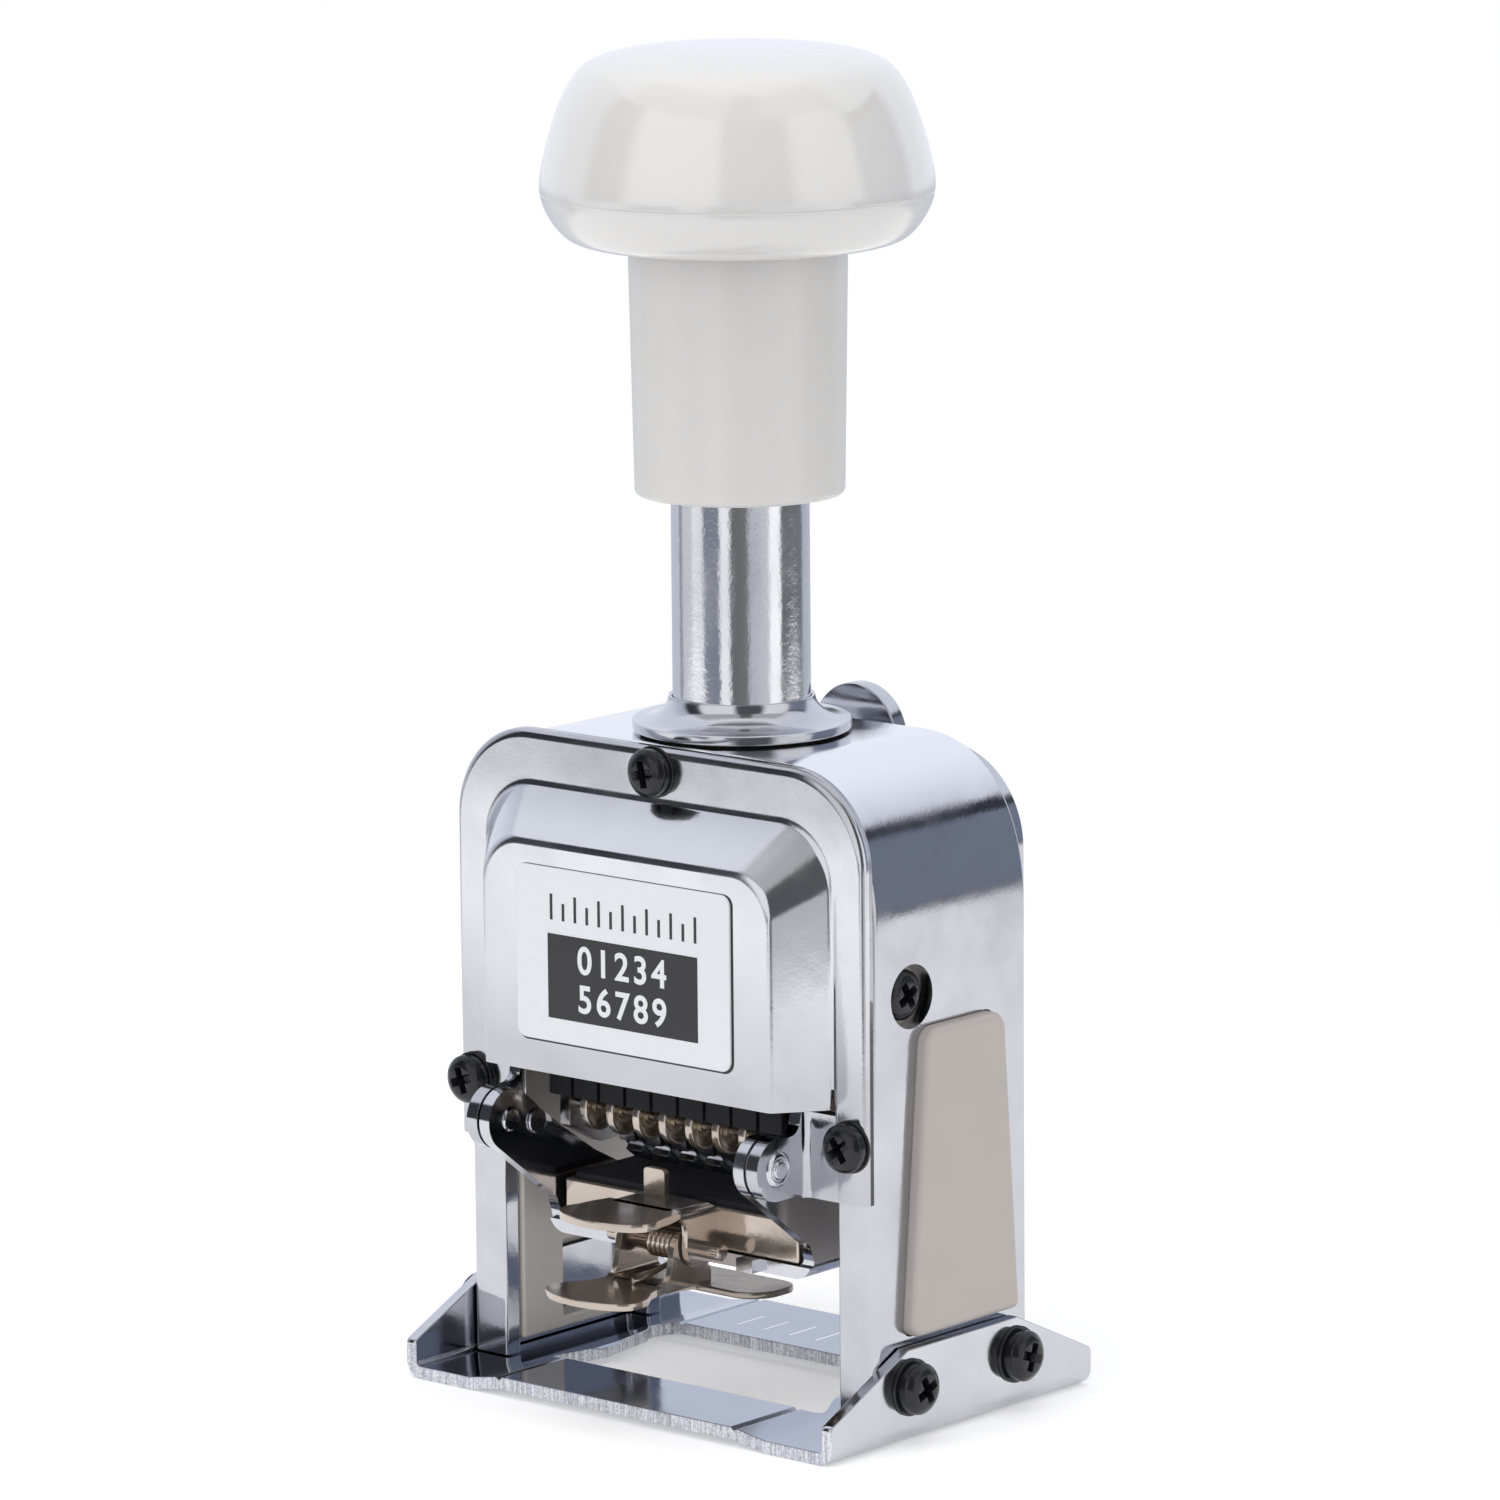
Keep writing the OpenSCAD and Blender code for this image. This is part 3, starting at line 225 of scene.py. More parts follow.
# Warm nickel made darker and browner: partly its own duller tone, partly painted shade for parts under
# the housing.
NICKEL_WITH_SHADE = plated("nickel", (0.66, 0.59, 0.53), (0.40, 0.34, 0.29), (0.1, 0.24), grain=0.012,
                metal=0.88)
# A darker, rougher copy of the nickel, used for the jaw under the tray.
DARK_NICKEL = plated("dark_nickel", (0.40, 0.35, 0.31), (0.24, 0.21, 0.185), (0.14, 0.3), grain=0.03,
                     metal=0.88)
SHEARED = sheared("sheared_edge")
STEEL = plated("steel", (0.60, 0.59, 0.58), (0.48, 0.47, 0.46), (0.2, 0.36))
BRASS = plated("brass", (0.62, 0.52, 0.40), (0.48, 0.40, 0.30), (0.16, 0.28), metal=0.8)
SCRIBE = plated("scribed_line", (0.97, 0.97, 1.0), (0.78, 0.78, 0.8), (0.15, 0.35))
BLACK_SCREW = plastic("black_screw", (0.007, 0.007, 0.009), (0.014, 0.014, 0.017), (0.08, 0.2),
                      grain=0.03, shine=0.42)
COMB_BLACK = plastic("comb_black", (0.014, 0.014, 0.017), (0.02, 0.02, 0.024), (0.5, 0.65),
                     shine=0.2)
BEIGE = plastic("beige", (0.51, 0.47, 0.44), (0.48, 0.44, 0.415), (0.42, 0.52), grain=0.01)
# The same beige plastic made lighter for the blocks inside the housing: painted light.
BEIGE_PAINTED_LIGHT = plastic("beige_painted_light", (0.70, 0.66, 0.61), (0.66, 0.62, 0.57), (0.42, 0.52), grain=0.01)
IVORY = plastic("ivory", (0.77, 0.76, 0.745), (0.745, 0.735, 0.72), (0.1, 0.14), 1.0, glow=0.2,
                shine=0.8)
SLEEVE = plastic("ivory_sleeve", (0.72, 0.71, 0.70), (0.695, 0.685, 0.67), (0.3, 0.36), 0.3, glow=0.2)
LABEL = plastic("label_white", (0.80, 0.80, 0.85), (0.78, 0.78, 0.83), (0.25, 0.35), 0.2)
RUBBER = plastic("rubber", (0.012, 0.012, 0.012), (0.02, 0.02, 0.02), (0.5, 0.7))
# Black for the print, and for the label's painted shadow line.
INK_AND_SHADOW = plastic("print_and_shadow_black", (0.016, 0.016, 0.018), (0.022, 0.022, 0.024), (0.3, 0.4))
FELT = plastic("felt", (0.012, 0.012, 0.016), (0.02, 0.02, 0.028), (0.8, 0.95), grain=0.05)

FINISH = {
    "nickel": CHROME, "chrome_stem": STEM, "steel": STEEL, "black_oxide": BLACK_SCREW,
    "beige_plastic": BEIGE, "ivory_plastic": IVORY, "label_white": LABEL, "brass": BRASS,
    "black_rubber": RUBBER, "felt": FELT,
}


# ------------------------------------ shapes, in mm


def along_x(u, v, h):
    """Stands an outline drawn in (y, z) along x; the next two do so along y and z."""
    return (h, u, v)


def along_y(u, v, h):
    return (u, h, v)


def along_z(u, v, h):
    return (u, v, h)


def rectangle(u0, u1, v0, v1):
    return [(u0, v0), (u1, v0), (u1, v1), (u0, v1)]


def round_corners(points, radius, steps=6, loop=True):
    """Rounds a 2-D outline; radius is one number, or one for each corner."""
    count = len(points)
    radii = radius if isinstance(radius, (list, tuple)) else [radius] * count
    made = []
    for i, (corner, r) in enumerate(zip(points, radii)):
        p = Vector(corner)
        if r <= 0 or (not loop and i in (0, count - 1)):
            made.append(tuple(p))
            continue
        before, after = Vector(points[i - 1]) - p, Vector(points[(i + 1) % count]) - p
        u, v = before.normalized(), after.normalized()
        half = u.angle(v) / 2
        if half > math.radians(89.5):
            made.append(tuple(p))
            continue
        run = min(r / math.tan(half), before.length * 0.49, after.length * 0.49)
        r = run * math.tan(half)
        centre = p + (u + v).normalized() * (r / math.sin(half))
        start, end = p + u * run - centre, p + v * run - centre
        sweep = math.atan2(start.x * end.y - start.y * end.x, start.dot(end))
        for k in range(steps + 1):
            t = sweep * k / steps
            c, s = math.cos(t), math.sin(t)
            made.append((centre.x + start.x * c - start.y * s, centre.y + start.x * s + start.y * c))
    return made


def eased(points, times):
    """Rounds an open outline by cutting its corners, a given number of times."""
    for _ in range(times):
        made = [points[0]]
        for (u0, v0), (u1, v1) in zip(points, points[1:]):
            for k in (0.25, 0.75):
                made.append((u0 + (u1 - u0) * k, v0 + (v1 - v0) * k))
        points = made + [points[-1]]
    return points


def eased_loop(points):
    """Cuts the corners of a closed outline once."""
    made = []
    for (u0, v0), (u1, v1) in zip(points, points[1:] + points[:1]):
        made += [(u0 + (u1 - u0) * k, v0 + (v1 - v0) * k) for k in (0.2, 0.8)]
    return made


def arc(cx, cy, a, b, start, end, steps):
    """Points of an ellipse's arc, angles in degrees."""
    turns = [math.radians(start + (end - start) * k / steps) for k in range(steps + 1)]
    return [(cx + a * math.cos(t), cy + b * math.sin(t)) for t in turns]


def revolve(profile, centre, way, segments=96, loop=False):
    """Turns an outline of (radius, height) points about an axis through centre."""
    w = Vector(way).normalized()
    u = w.orthogonal().normalized()
    v = w.cross(u)
    verts, rings, faces = [], [], []
    for r, h in profile:
        count = 1 if r < 1e-6 else segments
        rings.append((len(verts), count))
        for k in range(count):
            t = 2 * math.pi * k / segments
            verts.append(Vector(centre) + w * h + (u * math.cos(t) + v * math.sin(t)) * r)
    pairs = list(zip(rings, rings[1:])) + ([(rings[-1], rings[0])] if loop else [])
    for (a, na), (b, nb) in pairs:
        for k in range(segments):
            nxt = (k + 1) % segments
            corner = dict.fromkeys([a + k % na, a + nxt % na, b + nxt % nb, b + k % nb])
            if len(corner) > 2:
                faces.append(tuple(corner))
    return verts, faces


def prism(outline, low, high, place):
    """Extrudes an outline; place turns (u, v, height) into a point."""
    count = len(outline)
    verts = [Vector(place(u, v, h)) for h in (low, high) for u, v in outline]
    faces = [tuple(range(count)), tuple(range(count, 2 * count))]
    for i in range(count):
        j = (i + 1) % count
        faces.append((i, j, count + j, count + i))
    return verts, faces


def skin(rows, loop_columns=False, ends=False):
    """Joins rows of equal length with four-sided faces."""
    wide, tall = len(rows[0]), len(rows)
    verts = [Vector(p) for row in rows for p in row]
    faces = []
    for i in range(tall - 1):
        for j in range(wide if loop_columns else wide - 1):
            j2 = (j + 1) % wide
            faces.append((i * wide + j, i * wide + j2, (i + 1) * wide + j2, (i + 1) * wide + j))
    if ends:
        faces.append(tuple(range(wide)))
        faces.append(tuple(range((tall - 1) * wide, tall * wide)))
    return verts, faces


def wire(path, radius, sides=12):
    """A round wire along a path of points."""
    path = [Vector(p) for p in path]
    side = (path[1] - path[0]).orthogonal().normalized()
    rows = []
    for i, p in enumerate(path):
        way = (path[min(i + 1, len(path) - 1)] - path[max(i - 1, 0)]).normalized()
        side = (side - way * side.dot(way)).normalized()
        other = way.cross(side)
        turns = [2 * math.pi * k / sides for k in range(sides)]
        rows.append([p + (side * math.cos(t) + other * math.sin(t)) * radius for t in turns])
    return skin(rows, loop_columns=True, ends=True)


def mirrored(shape):
    """A shape's twin on the other side of the middle."""
    verts, faces = shape
    return [Vector((-v.x, v.y, v.z)) for v in verts], faces


def raw_object(name, shapes):
    """A mesh object in mm, with its faces turned outward."""
    data = bpy.data.meshes.new(name)
    verts, faces = [], []
    for some_verts, some_faces in shapes:
        faces += [tuple(i + len(verts) for i in face) for face in some_faces]
        verts += some_verts
    data.from_pydata([tuple(v) for v in verts], [], faces)
    bm = bmesh.new()
    bm.from_mesh(data)
    bmesh.ops.recalc_face_normals(bm, faces=bm.faces)
    bm.to_mesh(data)
    bm.free()
    obj = bpy.data.objects.new(name, data)
    bpy.context.scene.collection.objects.link(obj)
    return obj


def settle(obj):
    """Bakes an object's modifiers into its mesh."""
    made = bpy.data.meshes.new_from_object(obj.evaluated_get(bpy.context.evaluated_depsgraph_get()))
    obj.modifiers.clear()
    obj.data = made


def combine(obj, shapes, operation="DIFFERENCE"):
    """Cuts each shape from the object, or keeps what it shares with them."""
    for shape in shapes:
        tool = raw_object("tool", [shape])
        step = obj.modifiers.new("cut", "BOOLEAN")
        step.operation = operation
        step.solver = "EXACT"
        step.object = tool
        settle(obj)
        bpy.data.objects.remove(tool)


def shape_of(obj):
    """Takes an object's mesh back as a shape, and removes the object."""
    verts = [v.co.copy() for v in obj.data.vertices]
    faces = [tuple(f.vertices) for f in obj.data.polygons]
    bpy.data.objects.remove(obj)
    return verts, faces


def trimmed(shape, outline, low, high):
    """A shape kept only inside an outline drawn in (y, z), from x = low to high."""
    obj = raw_object("trim", [shape])
    combine(obj, [prism(outline, low, high, along_x)], "INTERSECT")
    return shape_of(obj)


def coat(obj, material):
    """Gives a mesh one material and smooth faces."""
    obj.data.materials.clear()
    obj.data.materials.append(material)
    obj.data.polygons.foreach_set("use_smooth", [True] * len(obj.data.polygons))


def into_frame(obj, material):
    """Moves a shape in mm into the frame, and coats it."""
    for vert in obj.data.vertices:
        vert.co = mm(*vert.co)
    coat(obj, material)


def round_edges(obj, width, segments, angle):
    """Bevels the edges that turn by more than some degrees; width is in mm."""
    edge = obj.modifiers.new("edge", "BEVEL")
    edge.width = width * 0.001
    edge.segments = segments
    edge.limit_method = "ANGLE"
    edge.angle_limit = math.radians(angle)


SHARP = 38  # faces that meet at more degrees than this have an edge between them


def finish_piece(obj, material, body, slot, nodes, bevel=0.0, segments=2, sheet=0.0):
    """Moves a shape in mm into the frame and gives it edges, finish and body."""
    into_frame(obj, material)
    obj.data.set_sharp_from_angle(angle=math.radians(SHARP))
    if sheet:
        thick = obj.modifiers.new("sheet", "SOLIDIFY")
        thick.thickness = sheet * 0.001
        thick.offset = -1
        thick.use_even_offset = True
    if bevel:
        round_edges(obj, bevel, segments, SHARP)
    normals = obj.modifiers.new("normals", "WEIGHTED_NORMAL")
    normals.keep_sharp = not bevel
    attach(obj, body)
    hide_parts(*nodes)


def tear_edges(obj, reach, top):
    """Below a height in mm, gives a sheet's upper faces a darker bluish chrome, a painted reflection,
    and its cut faces within a half width the torn-edge finish."""
    obj.data.materials.append(SHEARED)
    obj.data.materials.append(FOOT_TOP_REFLECTION)
    for face in obj.data.polygons:
        low = face.center.z < top * 0.001
        if abs(face.normal.z) < 0.3 and low and abs(face.center.x) < reach * 0.001:
            face.material_index = 1
        elif face.normal.z > 0.8 and low:
            face.material_index = 2


def piece(name, shapes, material, body, slot, nodes=(), cuts=(), **edges):
    """Makes a piece from shapes in mm less some cuts, in place of some CAD nodes."""
    obj = raw_object(name, shapes)
    combine(obj, cuts)
    finish_piece(obj, material, body, slot, nodes, **edges)


# ------------------------------------ CAD nodes kept


def dress(name, material):
    """Gives a CAD node its finish, and rounds its sharp edges a little."""
    obj = frame["nodes"][name]
    coat(obj, material)
    weld = obj.modifiers.new("weld", "WELD")
    weld.merge_threshold = 2e-6
    flat = obj.modifiers.new("flat", "DECIMATE")
    flat.decimate_type = "DISSOLVE"
    flat.angle_limit = math.radians(0.5)
    round_edges(obj, 0.2, 2, 40)
    normals = obj.modifiers.new("normals", "WEIGHTED_NORMAL")
    normals.keep_sharp = True


SLOT_OF = {row["node"]: row["material_slot"] for row in frame["record"]["subparts"]}
for cad_name in frame["nodes"]:
    dress(cad_name, FINISH[SLOT_OF[cad_name]])
dress_again = {"ink_pad": FELT, "detent_comb": COMB_BLACK, "comb_screws": COMB_BLACK}
for cad_name, finish in dress_again.items():
    frame["nodes"][cad_name].data.materials[0] = finish


# ------------------------------------ sizes, in mm from the CAD


def size_of(name):
    """Lowest and highest corner of a CAD node, in mm from the housing's centre line."""
    low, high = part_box(name)
    shift = Vector((0, Y0, 0))
    return low * 1000 - shift, high * 1000 - shift


SHELL_LOW, SHELL_HIGH = size_of("housing_frame")
BODY_HW = SHELL_HIGH.x
BODY_TOP = SHELL_HIGH.z
FRONT_Y = SHELL_LOW.y
REAR_Y = SHELL_HIGH.y
SHEET = 2.4  # the housing's thickness
FLANGE = 5.3  # width of the housing's turned-in edges
COVER_T = 1.6  # the covers' thickness
COVER_Y = FRONT_Y - COVER_T
FACE_Y = size_of("label_plate")[1].y
COVER_LOW = size_of("front_cover")[0]
EYE_R = 3.65  # radius of the cover's ears round the pad's pivots
PIVOT_Y = COVER_LOW.y + EYE_R
PIVOT_Z = COVER_LOW.z + 4
EAR_OUT = 21.9  # half width over the cover's ears
EAR_IN = EAR_OUT - COVER_T
EMBOSS_Z = PIVOT_Z + 6.5  # the lower edge of the cover's raised field
KNOB_LOW = size_of("knob_bottom")[0]
KNOB_HIGH = size_of("knob_top")[1]
KNOB_R = KNOB_HIGH.x
KNOB_Z = KNOB_LOW.z
SEAM_Z = KNOB_Z + 6.3  # where the knob's two halves meet
STEM_LOW, STEM_HIGH = size_of("stem")
SLEEVE_LOW, SLEEVE_HIGH = size_of("handle_sleeve")
COLLAR_LOW, COLLAR_HIGH = size_of("collar")
WHEELS = 7
PITCH = 4  # from one figure wheel to the next
GUIDE_SCREW_Y, GUIDE_SCREW_Z = -6.8, 50.7  # the side guides' screws
UP = (0, 0, 1)


# ------------------------------------ handle


def knob_outline():
    """Half outline of the knob, from its underside's centre to its top's centre."""
    r, z, top = KNOB_R, KNOB_Z, KNOB_HIGH.z
    return eased([
        (0, z), (0.56 * r, z), (0.82 * r, z + 0.4), (0.92 * r, z + 2.2), (0.995 * r, z + 5.2),
        (1.003 * r, z + 8), (0.945 * r, z + 13.3), (0.866 * r, top - 4.6), (0.741 * r, top - 1.2),
        (0.357 * r, top), (0, top)], 4)


def radius_at(outline, z):
    """The outline's radius at a height on its flank."""
    for (r0, z0), (r1, z1) in zip(outline[1:], outline[2:]):
        if z0 <= z < z1:
            return r0 + (r1 - r0) * (z - z0) / (z1 - z0)
    return 0


def make_handle():
    """The knob's two halves, the sleeve and the stem."""
    outline = knob_outline()
    low = [p for p in outline if p[1] < SEAM_Z - 0.1]
    high = [p for p in outline if p[1] > SEAM_Z + 0.1]
    seam_r = radius_at(outline, SEAM_Z)
    low_profile = low + [(seam_r, SEAM_Z - 0.1), (seam_r - 0.06, SEAM_Z - 0.02), (0, SEAM_Z - 0.02)]
    high_profile = [(0, SEAM_Z - 0.01), (seam_r - 0.03, SEAM_Z - 0.01), (seam_r, SEAM_Z + 0.05)] + high
    axis = (0, 0, 0)
    piece("knob_lower_shell", [revolve(low_profile, axis, UP, 128)], IVORY, "plunger",
          "ivory_plastic", ["knob_bottom"])
    piece("knob_dome", [revolve(high_profile, axis, UP, 128)], IVORY, "plunger",
          "ivory_plastic", ["knob_top"])
    r_low, r_high = SLEEVE_HIGH.x - 0.5, SLEEVE_HIGH.x
    bore = STEM_HIGH.x + 0.05
    z0 = SLEEVE_LOW.z
    sleeve = round_corners([(bore, z0 + 3.4), (r_low - 1.3, z0), (r_low, z0), (r_high, KNOB_Z),
                            (bore, KNOB_Z)], [0.2, 1.0, 1.2, 0, 0])
    piece("sleeve_shell", [revolve(sleeve, axis, UP, 128, loop=True)], SLEEVE, "plunger",
          "ivory_plastic", ["handle_sleeve"])
    r = STEM_HIGH.x
    stem = round_corners([(0, STEM_LOW.z), (r, STEM_LOW.z), (r, STEM_HIGH.z), (0, STEM_HIGH.z)],
                         [0, 0.5, 0.3, 0])
    piece("stem_shaft", [revolve(stem, axis, UP, 128)], STEM, "plunger", "chrome_stem", ["stem"])


def make_collar():
    """A bush round the stem with a rim and a flared top."""
    bore = STEM_HIGH.x + 0.08
    rim = COLLAR_HIGH.x
    bush = bore + 1.4
    seat = BODY_TOP + 0.3
    rim_top = seat + 1.1
    top = COLLAR_HIGH.z
    flare = arc(rim - 0.55, top, rim - 0.55 - bore - 0.4, top - rim_top, 270, 180, 18)
    outline = [(bore, COLLAR_LOW.z), (bush, COLLAR_LOW.z), (bush, seat), (rim - 0.1, seat),
               (rim, seat + 0.25), (rim, rim_top - 0.12), (rim - 0.12, rim_top)]
    outline += flare + [(bore + 0.12, top), (bore, top - 0.12)]
    piece("collar_flare", [revolve(outline, (0, 0, 0), UP, 128, loop=True)], CHROME, "frame",
          "chrome_stem", ["collar"])


# ------------------------------------ housing


def arch_path(hw, z0, top, a, b=None, power=2.0, steps=20):
    """Points and inward normals of an arch with corners a wide and b high."""
    b = b or a
    made = [((-hw, z0), (1, 0))]
    for side, start, end in ((-1, 0, 90), (1, 90, 0)):
        for k in range(steps + 1):
            t = math.radians(start + (end - start) * k / steps)
            c, s = abs(math.cos(t)) ** (2 / power), abs(math.sin(t)) ** (2 / power)
            inward = Vector((-side * c ** (power - 1) / a, -s ** (power - 1) / b)).normalized()
            made.append(((side * (hw - a + a * c), top - b + b * s), tuple(inward)))
    made.append(((hw, z0), (-1, 0)))
    return made


PLATE_TURNS = [1.4, 0.9, 2.1, 2.1]  # corner radii of a side guide's plate


def plate_outline(grow):
    """A side guide's outer plate, in (y, z)."""
    return [(-8.7 - grow, 11.8 - grow), (10.4 + grow, 11.8 - grow),
            (7.9 + grow, 46.9 + grow), (-5.7 - grow, 46.9 + grow)]


def make_housing():
    """A channel of sheet bent into an arch, with openings for the guides and the collar."""
    f, t = FLANGE, SHEET
    screw_hole, collar_hole = 3.65, 9.5
    section = round_corners(
        [(0, FRONT_Y), (0, REAR_Y), (f, REAR_Y), (f, REAR_Y - t), (t, REAR_Y - t),
         (t, FRONT_Y + t), (f, FRONT_Y + t), (f, FRONT_Y)],
        [1.0, 0.6, 0.3, 0.3, 0.8, 0.8, 0.3, 0.3], 5)
    rows = []
    for (x, z), (nx, nz) in arch_path(BODY_HW, SHELL_LOW.z, BODY_TOP, 15, 18.7, 2.25, 28):
        rows.append([(x + nx * d, y, z + nz * d) for d, y in section])
    window = round_corners(plate_outline(0.12), PLATE_TURNS)
    cuts = []
    for side in (-1, 1):
        cuts.append(prism(window, side * 33, side * 26, along_x))
        cuts.append(revolve(rectangle(0, screw_hole, -4, 4),
                            (side * BODY_HW, GUIDE_SCREW_Y, GUIDE_SCREW_Z), (1, 0, 0), 48))
    cuts.append(revolve(rectangle(0, collar_hole, -5, 3), (0, 0, BODY_TOP), UP, 64))
    piece("housing_arch", [skin(rows, loop_columns=True, ends=True)], ARCH, "frame", "nickel",
          ["housing_frame"], cuts, bevel=0.2)


# ------------------------------------ front cover

# Steps of the cover's face: (distance in from its edge, half width, top, corner radius)
COVER_STEPS = [(0, BODY_HW, BODY_TOP, 11.0), (4.5, 25.7, 70.5, 7.3), (9.4, 21.4, 65.2, 5.2),
               (16, 14.5, 58.5, 2.5)]


def cover_ring(d, y, z0):
    """The cover's outline at a distance d mm in from its edge."""
    for (d0, *a), (d1, *b) in zip(COVER_STEPS, COVER_STEPS[1:]):
        if d <= d1:
            share = (d - d0) / (d1 - d0)
            hw, top, r = (p + (q - p) * share for p, q in zip(a, b))
            break
    return [(x, y, z) for (x, z), _ in arch_path(hw, z0, top, r, steps=24)]


def make_front_cover():
    """A sheet that follows the arch, with a raised field in steps."""
    slit, foot = 3.6, 4.55
    rim, field, middle = (row[0] for row in COVER_STEPS[1:])
    profile = round_corners(
        [(0, FRONT_Y), (0, COVER_Y), (slit, COVER_Y), (rim, COVER_Y), (field, FACE_Y),
         (middle, FACE_Y)], [0, 0.9, 0, 1.7, 1.3, 0], 8, loop=False)
    rings = []
    for d, y in profile:
        z0 = COVER_LOW.z if d <= slit else EMBOSS_Z + 2.4 if d < foot else EMBOSS_Z
        rings.append(cover_ring(d, y, z0))
    verts, faces = skin(rings)
    wide = len(rings[0])
    faces.append(tuple(range(len(verts) - wide, len(verts))))
    shell = raw_object("front_cover_shell", [(verts, faces)])
    if sum(f.normal.y * f.area for f in shell.data.polygons) > 0:
        shell.data.flip_normals()
    finish_piece(shell, COVER, "frame", "nickel", ["front_cover"], sheet=COVER_T)


def make_ears():
    """The cover's side strips, bent forward into ears round the pad's pivots."""
    inner = BODY_HW - 2.6
    section = round_corners(
        [(inner, COVER_Y + 0.02), (EAR_OUT, COVER_Y + 0.02), (EAR_OUT, PIVOT_Y - 5),
         (EAR_IN, PIVOT_Y - 5), (EAR_IN, FRONT_Y - 0.02), (inner, FRONT_Y - 0.02)],
        [0, 0.9, 0, 0, 2.3, 0], 6)
    ear = prism(section, COVER_LOW.z + 0.01, EMBOSS_Z - 0.6, along_z)
    eye = arc(PIVOT_Y, PIVOT_Z, EYE_R, EYE_R, 270, 90, 24)
    neck = [(-18.2, 35.35), (-17.0, 35.5), (-16.3, 36.3), (-15.8, 38.5), (-12, 38.5),
            (-12, COVER_LOW.z - 1), (-15.4, COVER_LOW.z - 1), (-16.4, PIVOT_Z - EYE_R)]
    side = round_corners(eye + neck, [0] * len(eye) + [1.5, 1.2, 1.2, 0.5, 0, 0, 0, 1.0])
    right = trimmed(ear, side, 10, 40)
    piece("cover_ears", [right, mirrored(right)], COVER, "frame", "nickel",
          ["front_cover"], bevel=0.22)


# ------------------------------------ label


def digits(text, x, z, height, y):
    """White figures that stand on a plate facing the front."""
    curve = bpy.data.curves.new("figures", "FONT")
    curve.body = text
    curve.size = height * 1.4
    curve.space_character = 1.25
    curve.align_x = "CENTER"
    curve.extrude = 0.01
    curve.offset = 0.09
    source = bpy.data.objects.new("figures", curve)
    bpy.context.scene.collection.objects.link(source)
    bpy.context.view_layer.update()
    data = bpy.data.meshes.new_from_object(source.evaluated_get(bpy.context.evaluated_depsgraph_get()))
    bpy.data.objects.remove(source)
    verts = [Vector((x + v.co.x, y - v.co.z, z + v.co.y)) for v in data.vertices]
    return verts, [tuple(f.vertices) for f in data.polygons]


def make_label():
    """A plate with a painted shadow line along its lower and right edges, a printed block with the ten
    figures, and tick marks.
    """
    low, high = size_of("label_plate")
    plate = round_corners(rectangle(low.x, high.x, low.z, high.z), 1.3)
    piece("label_blank", [prism(plate, low.y, high.y, along_y)], LABEL, "frame", "label_white",
          ["label_plate"], bevel=0.12)
    # A black sheet behind the plate that shows below and right of it: a painted shadow line.
    rim = round_corners(rectangle(low.x - 0.02, high.x + 0.18, low.z - 0.26, high.z + 0.02), 1.3)
    piece("label_shadow_line", [prism(rim, high.y - 0.08, high.y, along_y)], INK_AND_SHADOW, "frame", "label_white",
          ["label_plate"])
    face = low.y - 0.01
    block = prism(rectangle(-11.2, 11.3, 45.2, 55.0), face - 0.01, face, along_y)
    ticks = []
    for k in range(13):
        x, top = k * 1.8 - 10.8, 58.6 if k % 2 else 59.6
        ticks.append(prism(rectangle(x, x + 0.4, 56.6, top), face - 0.01, face, along_y))
    piece("label_print", [block] + ticks, INK_AND_SHADOW, "frame", "black_oxide")
    rows = [digits(text, 0, z, 3.2, face - 0.02) for text, z in (("01234", 50.9), ("56789", 46.4))]
    piece("label_figures", rows, LABEL, "frame", "label_white")


# ------------------------------------ screws


def cross_cutter(turn):
    """A wedge that cuts one bar of a cross recess in a head of unit radius."""
    deep, wide, long = 0.22, 0.19, 0.64
    rows = []
    for h, w, l in ((1.2, wide, long), (deep, wide * 0.6, long * 0.45)):
        ring = []
        for x, y in ((-l, -w), (l, -w), (l, w), (-l, w)):
            c, s = math.cos(turn), math.sin(turn)
            ring.append((x * c - y * s, x * s + y * c, h))
        rows.append(ring)
    return skin(rows, loop_columns=True, ends=True)


def unit_head():
    """A pan head of radius 1 and height 1 with a cross recess."""
    outline = round_corners([(0, 0), (0.97, 0), (1.0, 0.1), (1.0, 0.62), (0.72, 1.0), (0, 1.02)],
                            [0, 0, 0, 0.3, 0.5, 0], 6)
    obj = raw_object("head", [revolve(outline, (0, 0, 0), UP, 64)])
    combine(obj, [cross_cutter(0), cross_cutter(math.pi / 2)])
    return shape_of(obj)


HEAD_VERTS, HEAD_FACES = unit_head()


def screw_head(place, way, radius, height, turn):
    """A screw's head on a surface, its cross turned by some degrees."""
    base = Vector(way).to_track_quat("Z", "Y").to_matrix().to_4x4()
    spin = Matrix.Rotation(math.radians(turn), 4, "Z")
    grow = Matrix.Diagonal((radius, radius, height, 1))
    fit = Matrix.Translation(place) @ base @ spin @ grow
    return [fit @ v for v in HEAD_VERTS], HEAD_FACES


def ring_washer(place, way, inner, outer, thick):
    """A flat washer with eased edges."""
    outline = round_corners([(inner, 0), (outer, 0), (outer, thick), (inner, thick)], thick * 0.3, 3)
    return revolve(outline, place, way, 48, loop=True)


def screws(name, places, way, radius, height, nodes, washer=None):
    """Black screw heads at (place, turn); washer is its (radius, thickness)."""
    shapes = []
    for place, turn in places:
        lift = Vector(way) * (washer[1] if washer else 0)
        if washer:
            shapes.append(ring_washer(Vector(place), way, radius * 0.5, washer[0], washer[1]))
        shapes.append(screw_head(Vector(place) + lift, way, radius, height, turn))
        shapes.append(revolve(rectangle(0, radius * 0.5, -3, 0.2), Vector(place) + lift, way, 24))
    piece(name, shapes, BLACK_SCREW, "frame", "black_oxide", nodes, bevel=0.08)


